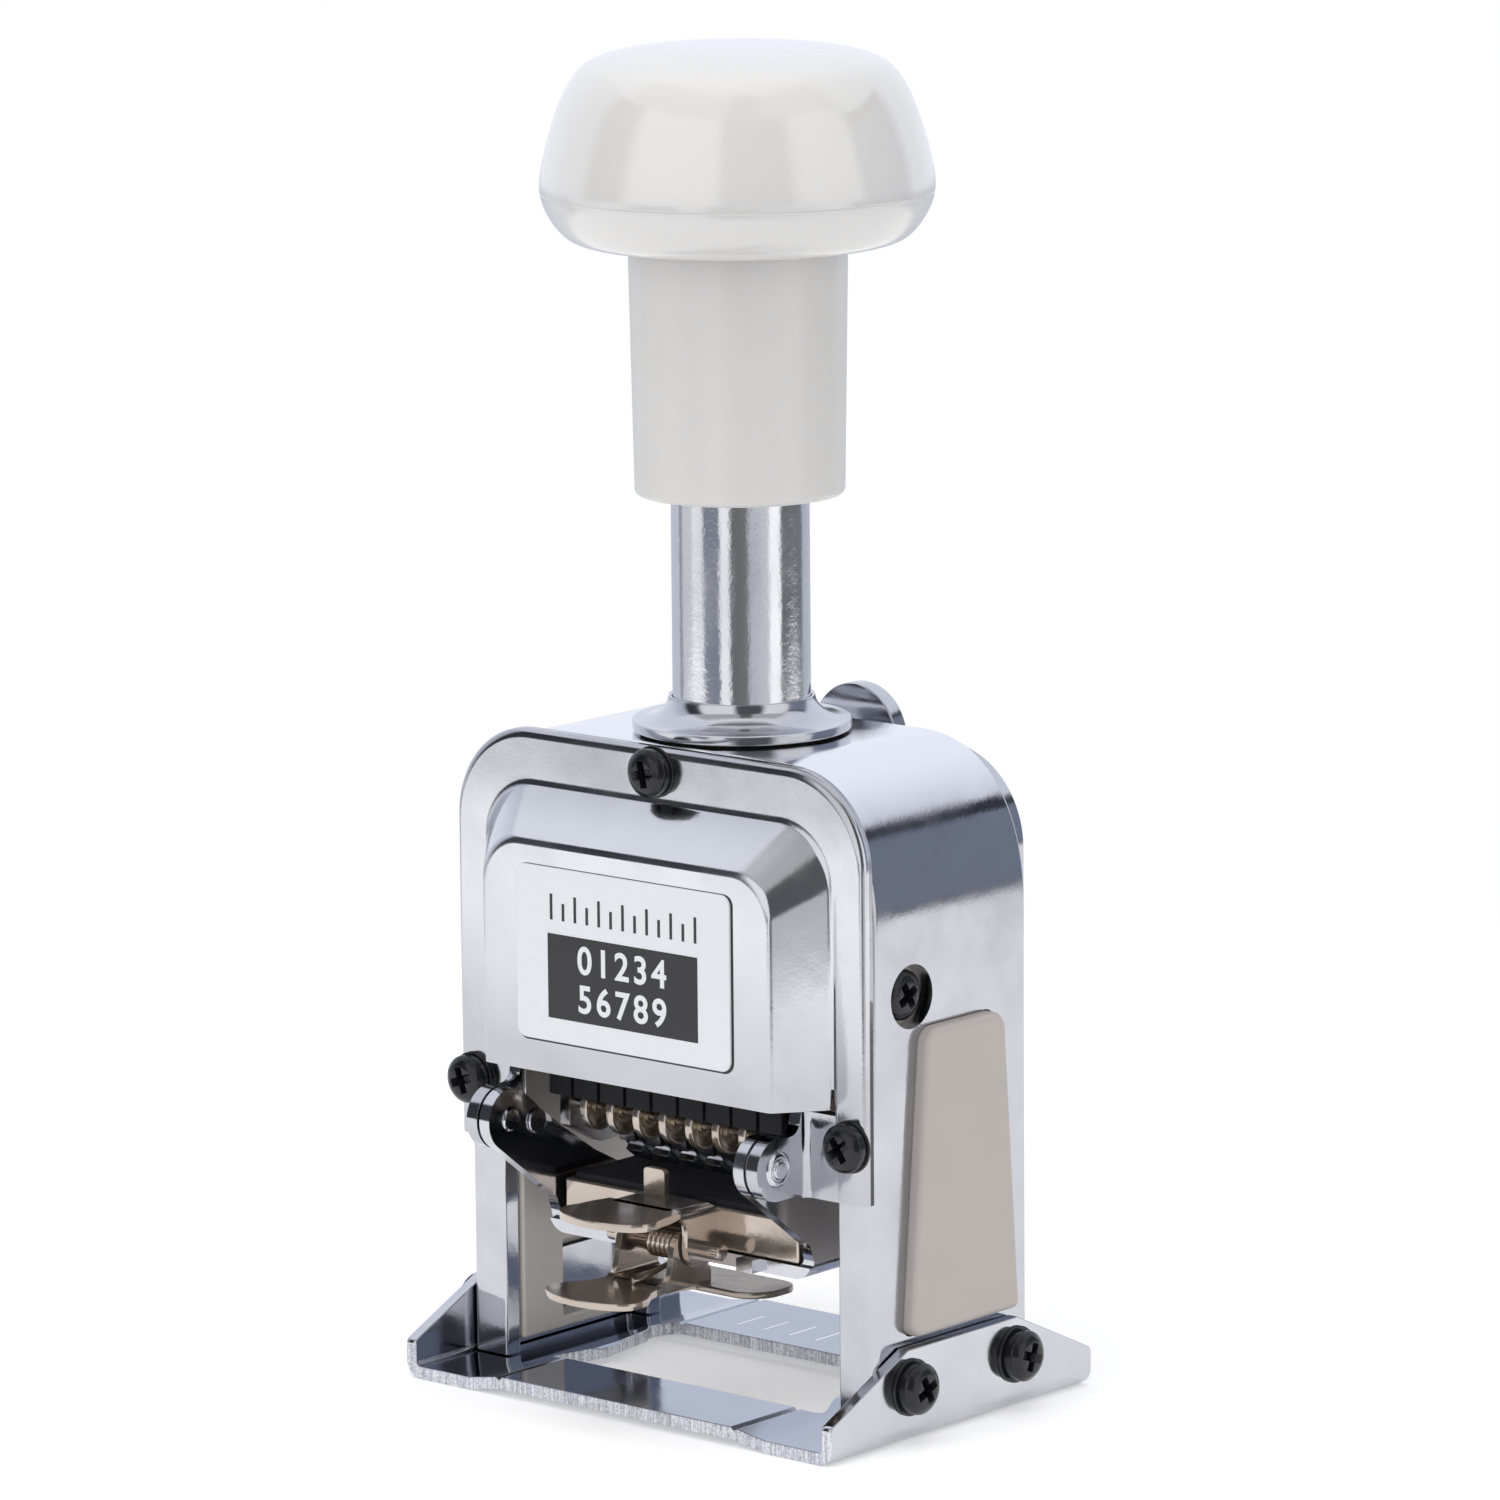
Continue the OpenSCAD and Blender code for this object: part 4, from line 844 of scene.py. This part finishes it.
def make_screws():
    front, rear, right, left = (0, -1, 0), (0, 1, 0), (1, 0, 0), (-1, 0, 0)
    x, z = 28.4, 34.7
    places = [((-x, COVER_Y, z), 20), ((x, COVER_Y, z), 35), ((0, COVER_Y, 74.0), 12)]
    screws("cover_screw_heads", places, front, 2.8, 1.9, ["front_cover_screws"], (3.0, 0.35))
    x, rear_y = 26, -COVER_Y
    places = [((-x, rear_y, z), 50), ((x, rear_y, z), 10), ((0, rear_y, 72.3), 70)]
    screws("rear_screw_heads", places, rear, 2.4, 0.6, ["rear_cover_screws"])
    x, y, z = size_of("foot_washers")[1].x - 0.4, 9.4, 6.5
    for side, way, tag in ((1, right, "right"), (-1, left, "left")):
        places = [((side * x, -y, z), 25), ((side * x, y, z), 70)]
        screws("foot_screw_heads_" + tag, places, way, 2.95, 2.1, ["foot_screws", "foot_washers"],
               (3.3, 0.4))
        places = [((side * (BODY_HW - SHEET), GUIDE_SCREW_Y, GUIDE_SCREW_Z), 30)]
        screws("guide_screw_head_" + tag, places, way, 2.9, 1.9, ["side_guide_screws"])


# ------------------------------------ side guides


def make_guides():
    """Each guide is a block inside the housing and a plate in the housing's window."""
    for side, tag in ((1, "right"), (-1, "left")):
        low, high = size_of("side_guide_" + tag)
        out = max(abs(low.x), abs(high.x))
        inner = min(abs(low.x), abs(high.x))
        wall = BODY_HW - SHEET - 0.05
        block = prism(rectangle(low.y, high.y, low.z, high.z), side * inner, side * wall, along_x)
        outline = round_corners(plate_outline(0), PLATE_TURNS)
        plate = prism(outline, side * (wall + 0.01), side * out, along_x)
        recess = prism(rectangle(-4.1, 12.4, low.z + 1.4, low.z + 10.5), side * (inner - 1),
                       side * (wall + 1), along_x)
        piece("guide_block_" + tag, [block], BEIGE_PAINTED_LIGHT, "frame", "beige_plastic",
              ["side_guide_" + tag], [recess], bevel=0.35, segments=3)
        piece("guide_plate_" + tag, [plate], BEIGE, "frame", "beige_plastic",
              ["side_guide_" + tag], bevel=1.0, segments=5)


# ------------------------------------ small discs


def make_discs():
    """Small dished discs in a row, one for each figure wheel."""
    low, high = size_of("detent_rollers")
    y, z = (low.y + high.y) / 2, (low.z + high.z) / 2
    r = (high.y - low.y) / 2
    rim = round_corners([(r - 0.42, 0.02), (r, 0.02), (r, 1.1), (r - 0.42, 1.1)], 0.12, 3)
    dish = [(0.62, 0), (r - 0.4, 0.1), (r - 0.4, 0.95), (r - 0.7, 0.68), (1.5, 0.42), (1.0, 0.38),
            (0.95, 0.7), (0.62, 0.75)]
    rims, dishes = [], []
    for k in range(WHEELS):
        centre = ((k - 3) * PITCH - 1.95, y, z)
        rims.append(revolve(rim, centre, (1, 0, 0), 48, loop=True))
        dishes.append(revolve(round_corners(dish, 0.1, 3), centre, (1, 0, 0), 48, loop=True))
    piece("detent_rims", rims, NICKEL_WITH_SHADE, "plunger", "nickel", ["detent_rollers"])
    piece("detent_dishes", dishes, BRASS, "plunger", "brass", ["detent_rollers"])


# ------------------------------------ ink tray and pinch clip

PIN_Y, PIN_Z = -14.0, 19.2  # the clip's pin
CLIP_T = 0.8  # sheet of the clip's bent parts
LUG_T = 0.9  # thickness of the upper lug
LUG_HW = 6.6  # half width of both lugs
NECK, LEVER_NECK = 5.5, 4.4  # half widths of the upper and the lower lug's neck
PAD_ROOM = 0.85  # from the ink pad to the tray's outside
TRAY_TOP = 23.7


def lug_outline(front, half, neck, back):
    """Plan of a pinch lug: round front, then an S to a narrower neck; open at the back."""
    nose = arc(0, front + 3.2, half, 3.2, 180, 360, 20)
    flank = [(half + 0.02, front + 4.2), (half - 0.35, front + 5.6), (neck + 0.5, front + 7.6),
             (neck, front + 9.2), (neck, back)]
    return nose + flank + [(-x, y) for x, y in reversed(flank)]


def channel(half, inner, outer_z, inner_z, open_z, front, back):
    """A bent sheet: a web at outer_z and two ears that run to open_z."""
    outline = round_corners(
        [(-half, open_z), (-half, outer_z), (half, outer_z), (half, open_z),
         (inner, open_z), (inner, inner_z), (-inner, inner_z), (-inner, open_z)],
        [0, 1.3, 1.3, 0, 0, 0.5, 0.5, 0], 6)
    return prism(outline, front, back, along_y)


def make_tray():
    """The tray, and the upper lug with its ears round the clip's pin."""
    low, high = size_of("ink_pad")
    hw, front, rear, floor = high.x + PAD_ROOM, low.y - PAD_ROOM, high.y + PAD_ROOM, low.z - PAD_ROOM
    t = CLIP_T
    box = prism(rectangle(-hw, hw, front, rear), floor, TRAY_TOP, along_z)
    hollow = prism(rectangle(t - hw, hw - t, front + t, rear - t), floor + t, 30, along_z)
    piece("tray_box", [box], NICKEL_WITH_SHADE, "pad", "nickel", ["pad_tray"], [hollow], bevel=0.3)
    top = 24.3
    outline = round_corners(lug_outline(-27.5, LUG_HW, NECK, -17.6), 0.4, 3)
    lug = prism(outline, top - LUG_T, top, along_z)
    side = [(-18.6, 24.5), (-18.6, 23.5), (-17.8, 23.35), (-17.1, 22.9), (-16.75, 22.2), (-16.7, 21.0),
            (-16.8, 19.6), (-16.5, 18.3), (-15.7, 17.4), (-14.5, 17.05), (-13.2, 17.3),
            (-12.45, 18.1), (-12.3, 19.0), (-11.2, 19.2), (-11.2, 24.5)]
    sheet = channel(NECK, NECK - CLIP_T, top, top - LUG_T, 14, -18.8, -11)
    ears = trimmed(sheet, eased_loop(side), -20, 20)
    tab = prism(round_corners(rectangle(-1.55, 1.55, 24, 28.2), [0, 0, 0.5, 0.5]), -16.1, -15.3, along_y)
    piece("tray_lug", [lug, ears, tab], NICKEL_WITH_SHADE, "pad", "nickel", ["pad_tray"], bevel=0.22)


def make_lever():
    """The lower lug, its ears round the pin, and the jaw that holds the tray."""
    top = 15.6
    outline = round_corners(lug_outline(-30, LUG_HW, LEVER_NECK, -19), 0.4, 3)
    lug = prism(outline, top - CLIP_T, top, along_z)
    side = [(-21.4, 14.8), (-21.2, 15.1), (-19.8, 15.4), (-18.8, 16.1), (-18.2, 17.2), (-18.0, 18.9),
            (-17.6, 20.4), (-16.6, 21.4), (-15.2, 21.8), (-13.6, 21.6), (-12.6, 20.8), (-12.3, 19.4),
            (-12.3, 17.1), (-11.4, 16.6), (-11.4, 13.9), (-18.0, 14.8)]
    sheet = channel(LEVER_NECK, LEVER_NECK - CLIP_T, 13.8, top, 23, -21.4, -11.2)
    ears = trimmed(sheet, eased_loop(side), -20, 20)
    jaw = round_corners(rectangle(-LEVER_NECK, 13.1, -13.4, -5.6), [1, 3.8, 2.5, 1], 8)
    piece("lever_sheet", [lug, ears], NICKEL_WITH_SHADE, "pinch_lever", "nickel", ["clip_lever"], bevel=0.22)
    piece("lever_jaw", [prism(jaw, 13.95, 14.75, along_z)], DARK_NICKEL, "pinch_lever", "nickel",
          ["clip_lever"], bevel=0.22)


def make_clip_pin():
    low, high = size_of("clip_pin")
    r = 0.95
    profile = round_corners([(0, low.x), (r, low.x), (r, high.x), (0, high.x)], [0, 0.25, 0.2, 0], 4)
    piece("clip_pin_rod", [revolve(profile, (0, PIN_Y, PIN_Z), (1, 0, 0), 48)], NICKEL_WITH_SHADE, "pad", "steel",
          ["clip_pin"])


def make_clip_spring():
    """A coil round the pin; its leg to the lever is a wire of its own, to move with it."""
    r, turns, width, thick, steps_each = 1.5, 5.5, 3.9, 0.34, 24
    leg = [(0.6, -20.6, 16.0), (0.9, -19.9, 16.0), (width / 2, PIN_Y, PIN_Z - r)]
    piece("clip_spring_leg", [wire(leg, thick)], NICKEL_WITH_SHADE, "pinch_lever", "steel")
    path = []
    steps = int(turns * steps_each)
    for k in range(steps + 1):
        t = 2 * math.pi * k / steps_each - math.pi / 2
        path.append((width / 2 - width * k / steps, PIN_Y + r * math.cos(t), PIN_Z + r * math.sin(t)))
    path += [(-width / 2, PIN_Y - 2.2, PIN_Z + r + 1.2), (-width / 2, PIN_Y - 4.2, PIN_Z + r + 2.2)]
    piece("clip_spring_wire", [wire(path, thick)], NICKEL_WITH_SHADE, "pad", "steel", ["clip_spring"])


def make_pivots():
    """Rivet ends: a flat button inside a turned groove."""
    head = [(0, 0.5), (0.95, 0.5), (1.05, 0.4), (1.1, 0.12), (1.35, 0.1), (1.45, 0.32), (1.7, 0.3),
            (2.05, 0.05), (2.1, 0), (0, 0)]
    shank, long = 1.4, 3.5
    inner = [(0, 0.3), (1.2, 0.3), (shank, 0.12), (shank, 0), (0, 0)]
    shapes = []
    for side in (-1, 1):
        x = side * (EAR_OUT + 0.01)
        shapes.append(revolve(head, (x, PIVOT_Y, PIVOT_Z), (side, 0, 0), 48))
        shapes.append(revolve(rectangle(0, shank, -long, 0), (x, PIVOT_Y, PIVOT_Z), (side, 0, 0), 32))
        shapes.append(revolve(inner, (x - side * long, PIVOT_Y, PIVOT_Z), (-side, 0, 0), 32))
    piece("pivot_rivets", shapes, CHROME, "frame", "steel", ["pivot_pins"], bevel=0.04)


# ------------------------------------ foot


def make_foot():
    """A sheet with two creases, raised between them, and ends turned up."""
    hw, hd, top = size_of("foot_plate")[1]
    t, rise, crease, ramp = 1.5, 0.8, 17.8, 22.5
    right = [(crease, rise), (ramp, 0), (hw, 0), (hw, top), (hw - t, top), (hw - t, t), (ramp, t),
             (crease + 0.5, t + rise - 0.1), (crease, t + rise - 0.4), (crease - 0.5, t + rise)]
    turns = [0, 0, 2.0, 0, 0, 0.5, 0, 0, 0, 0]
    outline = round_corners(right + [(-x, z) for x, z in reversed(right)], turns + turns[::-1], 8)
    side = [(-hd, -1), (hd, -1), (hd, 4.5), (9.6, top + 0.1), (-9.6, top + 0.1), (-hd, 4.5)]
    w, y0, y1 = 20.4, -12, 8.8
    half = [(w - 1.8, y0), (w - 0.5, y0 + 0.5), (w, y0 + 1.3), (w - 0.3, y0 + 2.2), (17.4, -4.7),
            (w - 0.8, 4.7), (w + 0.5, y1 - 2.2), (w + 0.2, y1 - 0.8), (w - 0.9, y1)]
    window = round_corners(half + [(-x, y) for x, y in reversed(half)], 0.5, 3)
    obj = raw_object("foot_sheet", [prism(outline, -hd, hd, along_y)])
    combine(obj, [prism(round_corners(side, 0.8, 4), -40, 40, along_x)], "INTERSECT")
    combine(obj, [prism(window, -3, 5, along_z)])
    finish_piece(obj, CHROME, "frame", "nickel", ["foot_plate"], bevel=0.16)
    obj.data.set_sharp_from_angle(angle=math.radians(8))
    tear_edges(obj, hw - 1, 3)
    level = t + rise
    ticks = []
    for k in range(WHEELS):
        x = (k - 3) * PITCH
        tick = rectangle(x - 0.17, x + 0.17, y1 + 3.3, y1 + 8.1)
        ticks.append(prism(tick, level - 0.1, level + 0.012, along_z))
    piece("foot_ticks", ticks, SCRIBE, "frame", "nickel")


def make_return_springs():
    """Coils hooked to the frame above and to the carriage below."""
    r, thick, turns, n = 1.8, 0.38, 32, 16
    for tag in ("left", "right"):
        low, high = size_of("return_spring_" + tag)
        x, y = (low.x + high.x) / 2, (low.y + high.y) / 2
        z0, z1 = low.z + r + 0.4, high.z - r - 0.4
        hook_low = [(x, y + r * math.sin(t), z0 - r + r * math.cos(t))
                    for t in [math.pi * (1.8 - 1.5 * k / n) for k in range(n + 1)]]
        coil = []
        for k in range(turns * n + 1):
            t = 2 * math.pi * k / n
            coil.append((x + r * math.sin(t), y + r * math.cos(t), z0 + (z1 - z0) * k / (turns * n)))
        hook_high = [(x, y + r * math.sin(t), z1 + r - r * math.cos(t))
                     for t in [math.pi * (0.3 + 1.5 * k / n) for k in range(n + 1)]]
        obj = raw_object("return_coil_" + tag, [wire(hook_low + coil + hook_high, thick, 8)])
        into_frame(obj, STEEL)
        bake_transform(obj)
        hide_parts("return_spring_" + tag)


make_handle()
make_collar()
make_housing()
make_front_cover()
make_ears()
make_label()
make_screws()
make_guides()
make_discs()
make_tray()
make_lever()
make_clip_pin()
make_clip_spring()
make_pivots()
make_foot()
make_return_springs()


# ------------------------------------ studio

# Brightness round the compass as reflections see it, below, at and above the horizon. A stop
# is (azimuth, level, blueness). The mid belt gives way to the high one at CEILING, whose
# levels are quarter turns of rise, and the rim belt is the strip just under that.
LOW_BELT = [(-180, 0.62, 0.6), (-84, 0.7, 0.5), (-81, 0.36, 0.3), (-76, 0.38, 0.3), (-72, 0.7, 0.3),
            (-50, 0.7, 0), (-45, 0.95, 0), (-28, 0.85, 0), (-22, 0.30, 0.9), (3, 0.30, 0.9),
            (7, 1.0, 0), (20, 1.0, 0), (25, 0.16, 0.1), (49, 0.2, 0), (56, 0.60, 0.3),
            (86, 0.70, 0.2), (92, 1.2, 0), (107, 1.2, 0), (113, 0.16, 0.1), (160, 0.22, 0.6),
            (168, 0.6, 0.5), (180, 0.62, 0.6)]
MID_BELT = [(-180, 1.0, 0.45), (-100, 1.0, 0.45), (-64, 0.7, 0.6), (-54, 0.05, 0.8), (-34, 0.08, 0.8),
            (-24, 1.05, 0), (26, 1.05, 0), (34, 0.12, 0.3), (70, 0.12, 0.3), (80, 1.05, 0),
            (116, 1.05, 0), (122, 0.34, 1.2), (156, 0.36, 1.2), (166, 1.0, 0.5)]
RIM_BELT = [(a, 0.06 if 118 < a < 160 else level, blue) for a, level, blue in MID_BELT]
HIGH_BELT = [(-180, 1.0, 0.5), (-60, 1.05, 0.3), (-45, 0.6, 0.2), (32, 0.55, 0), (38, 0.15, 0),
             (56, 0.15, 0), (62, 0.55, 0), (114, 0.6, 0), (126, 1.0, 0.3), (180, 1.0, 0.5)]
ZENITH = (0.96, 0.965, 0.99, 1)
CEILING = [(-180, 0.40, 0), (108, 0.40, 0), (118, 0.30, 0), (158, 0.30, 0), (168, 0.40, 0)]


def belt(tree, turn, stops):
    """A ramp round the compass."""
    made = node(tree, "ValToRGB", Fac=turn)
    ramp = made.color_ramp
    while len(ramp.elements) > 1:
        ramp.elements.remove(ramp.elements[0])
    for i, (azimuth, level, blue) in enumerate(stops):
        place = (azimuth + 180) / 360
        stop = ramp.elements[0] if i == 0 else ramp.elements.new(place)
        stop.position = place
        stop.color = (level * (0.985 - 0.25 * blue), level * (0.99 - 0.18 * blue), level, 1)
    return made.outputs[0]


def make_world():
    """White to the camera, plain light grey to the part, and the belts to its reflections."""
    world = bpy.data.worlds.new("studio")
    bpy.context.scene.world = world
    world.use_nodes = True
    tree = world.node_tree
    background = tree.nodes["Background"]
    way = node(tree, "TexCoord").outputs["Generated"]
    split = node(tree, "SeparateXYZ", Vector=way)
    x, y, z = split.outputs
    angle = calc(tree, "ARCTAN2", x, calc(tree, "MULTIPLY", y, -1.0))
    turn = calc(tree, "MULTIPLY_ADD", angle, 0.5 / math.pi, 0.5)
    rise = calc(tree, "DEGREES", calc(tree, "ARCSINE", z))
    low = belt(tree, turn, LOW_BELT)
    mid = belt(tree, turn, MID_BELT)
    high = belt(tree, turn, HIGH_BELT)
    room = blend_colour(tree, spread(tree, rise, -8, -3, 0, 1, True), low, mid)
    top = calc(tree, "MULTIPLY", belt(tree, turn, CEILING), 90.0)
    over = calc(tree, "SUBTRACT", rise, top)
    rim = belt(tree, turn, RIM_BELT)
    room = blend_colour(tree, spread(tree, over, -5, -3, 0, 1, True), room, rim)
    room = blend_colour(tree, spread(tree, over, 0, 4, 0, 1, True), room, high)
    room = blend_colour(tree, spread(tree, rise, 56, 68, 0, 1, True), room, ZENITH)
    path = node(tree, "LightPath")
    soft = blend_colour(tree, path.outputs["Is Glossy Ray"], (0.62, 0.62, 0.63, 1), room)
    seen = blend_colour(tree, path.outputs["Is Camera Ray"], soft, (1, 1, 1, 1))
    put(tree, background.inputs["Color"], seen)
    background.inputs["Strength"].default_value = 1.0


def direction(azimuth, rise):
    """The way towards a place in the studio; both angles are in degrees."""
    a, e = math.radians(azimuth), math.radians(rise)
    return Vector((math.sin(a) * math.cos(e), -math.cos(a) * math.cos(e), math.sin(e)))


def lamp(name, azimuth, rise, distance, size, power):
    """A soft lamp that faces the part's middle and shows in no reflection."""
    data = bpy.data.lights.new(name, "AREA")
    data.shape = "RECTANGLE"
    data.size, data.size_y = size
    data.energy = power
    obj = bpy.data.objects.new(name, data)
    back = direction(azimuth, rise)
    obj.location = mm(0, 0, 70) + back * distance
    obj.rotation_euler = back.to_track_quat("Z", "Y").to_euler()
    obj.visible_glossy = False
    bpy.context.scene.collection.objects.link(obj)


def make_floor():
    """A white ellipse under the part that fades out at its edge and keeps the shadow."""
    made, tree, shader = new_material("floor")
    cloud = object_noise(tree, 4, detail=2)
    put(tree, shader.inputs["Base Color"], tint(tree, cloud, (0.93, 0.93, 0.935), (0.92, 0.92, 0.925)))
    shader.inputs["Roughness"].default_value = 0.8
    shader.inputs["Specular IOR Level"].default_value = 0.1
    shader.inputs["Emission Color"].default_value = (1, 1, 1, 1)
    path = node(tree, "LightPath").outputs
    seen = calc(tree, "MAXIMUM", path["Is Camera Ray"], path["Is Glossy Ray"])
    put(tree, shader.inputs["Emission Strength"], spread(tree, seen, 0, 1, 0.12, 0.27))
    place = node(tree, "TexCoord").outputs["Object"]
    reach = node(tree, "VectorMath", {"operation": "LENGTH"}, Vector=place).outputs["Value"]
    put(tree, shader.inputs["Alpha"], spread(tree, reach, 0.7, 1, 1, 0, True))
    bpy.ops.mesh.primitive_circle_add(vertices=96, radius=1, fill_type="NGON")
    floor = bpy.context.active_object
    floor.scale = (0.56, 0.27, 1)
    floor.rotation_euler.z = math.radians(49)
    floor.name = "floor"
    floor.location = mm(0, 0, -0.02)
    floor.data.materials.append(made)


def make_camera():
    azimuth, elevation, tilt, distance, aim_z = 40.681, 10.518, -0.513, 0.963855, 74.594
    back = direction(azimuth, elevation)
    a, roll = math.radians(azimuth), math.radians(tilt)
    level = Vector((math.cos(a), math.sin(a), 0))
    rise = back.cross(level)
    right = level * math.cos(roll) + rise * math.sin(roll)
    up = rise * math.cos(roll) - level * math.sin(roll)
    data = bpy.data.cameras.new("camera")
    data.sensor_width = 36
    data.lens = 202.61
    data.shift_x = 0.0051
    data.shift_y = -0.00197
    data.clip_end = 10
    camera = bpy.data.objects.new("camera", data)
    turn = Matrix((right, up, back)).transposed().to_4x4()
    camera.matrix_world = Matrix.Translation(mm(0, 0, aim_z) + back * distance) @ turn
    bpy.context.scene.collection.objects.link(camera)
    bpy.context.scene.camera = camera


make_world()
make_floor()
lamp("overhead", 20, 80, 0.9, (0.9, 0.9), 3.0)
lamp("front_left", -8, 25, 1.0, (0.7, 0.7), 2.0)
lamp("right", 98, 25, 1.0, (0.6, 0.7), 1.2)
make_camera()
bpy.context.scene.view_settings.view_transform = "Standard"
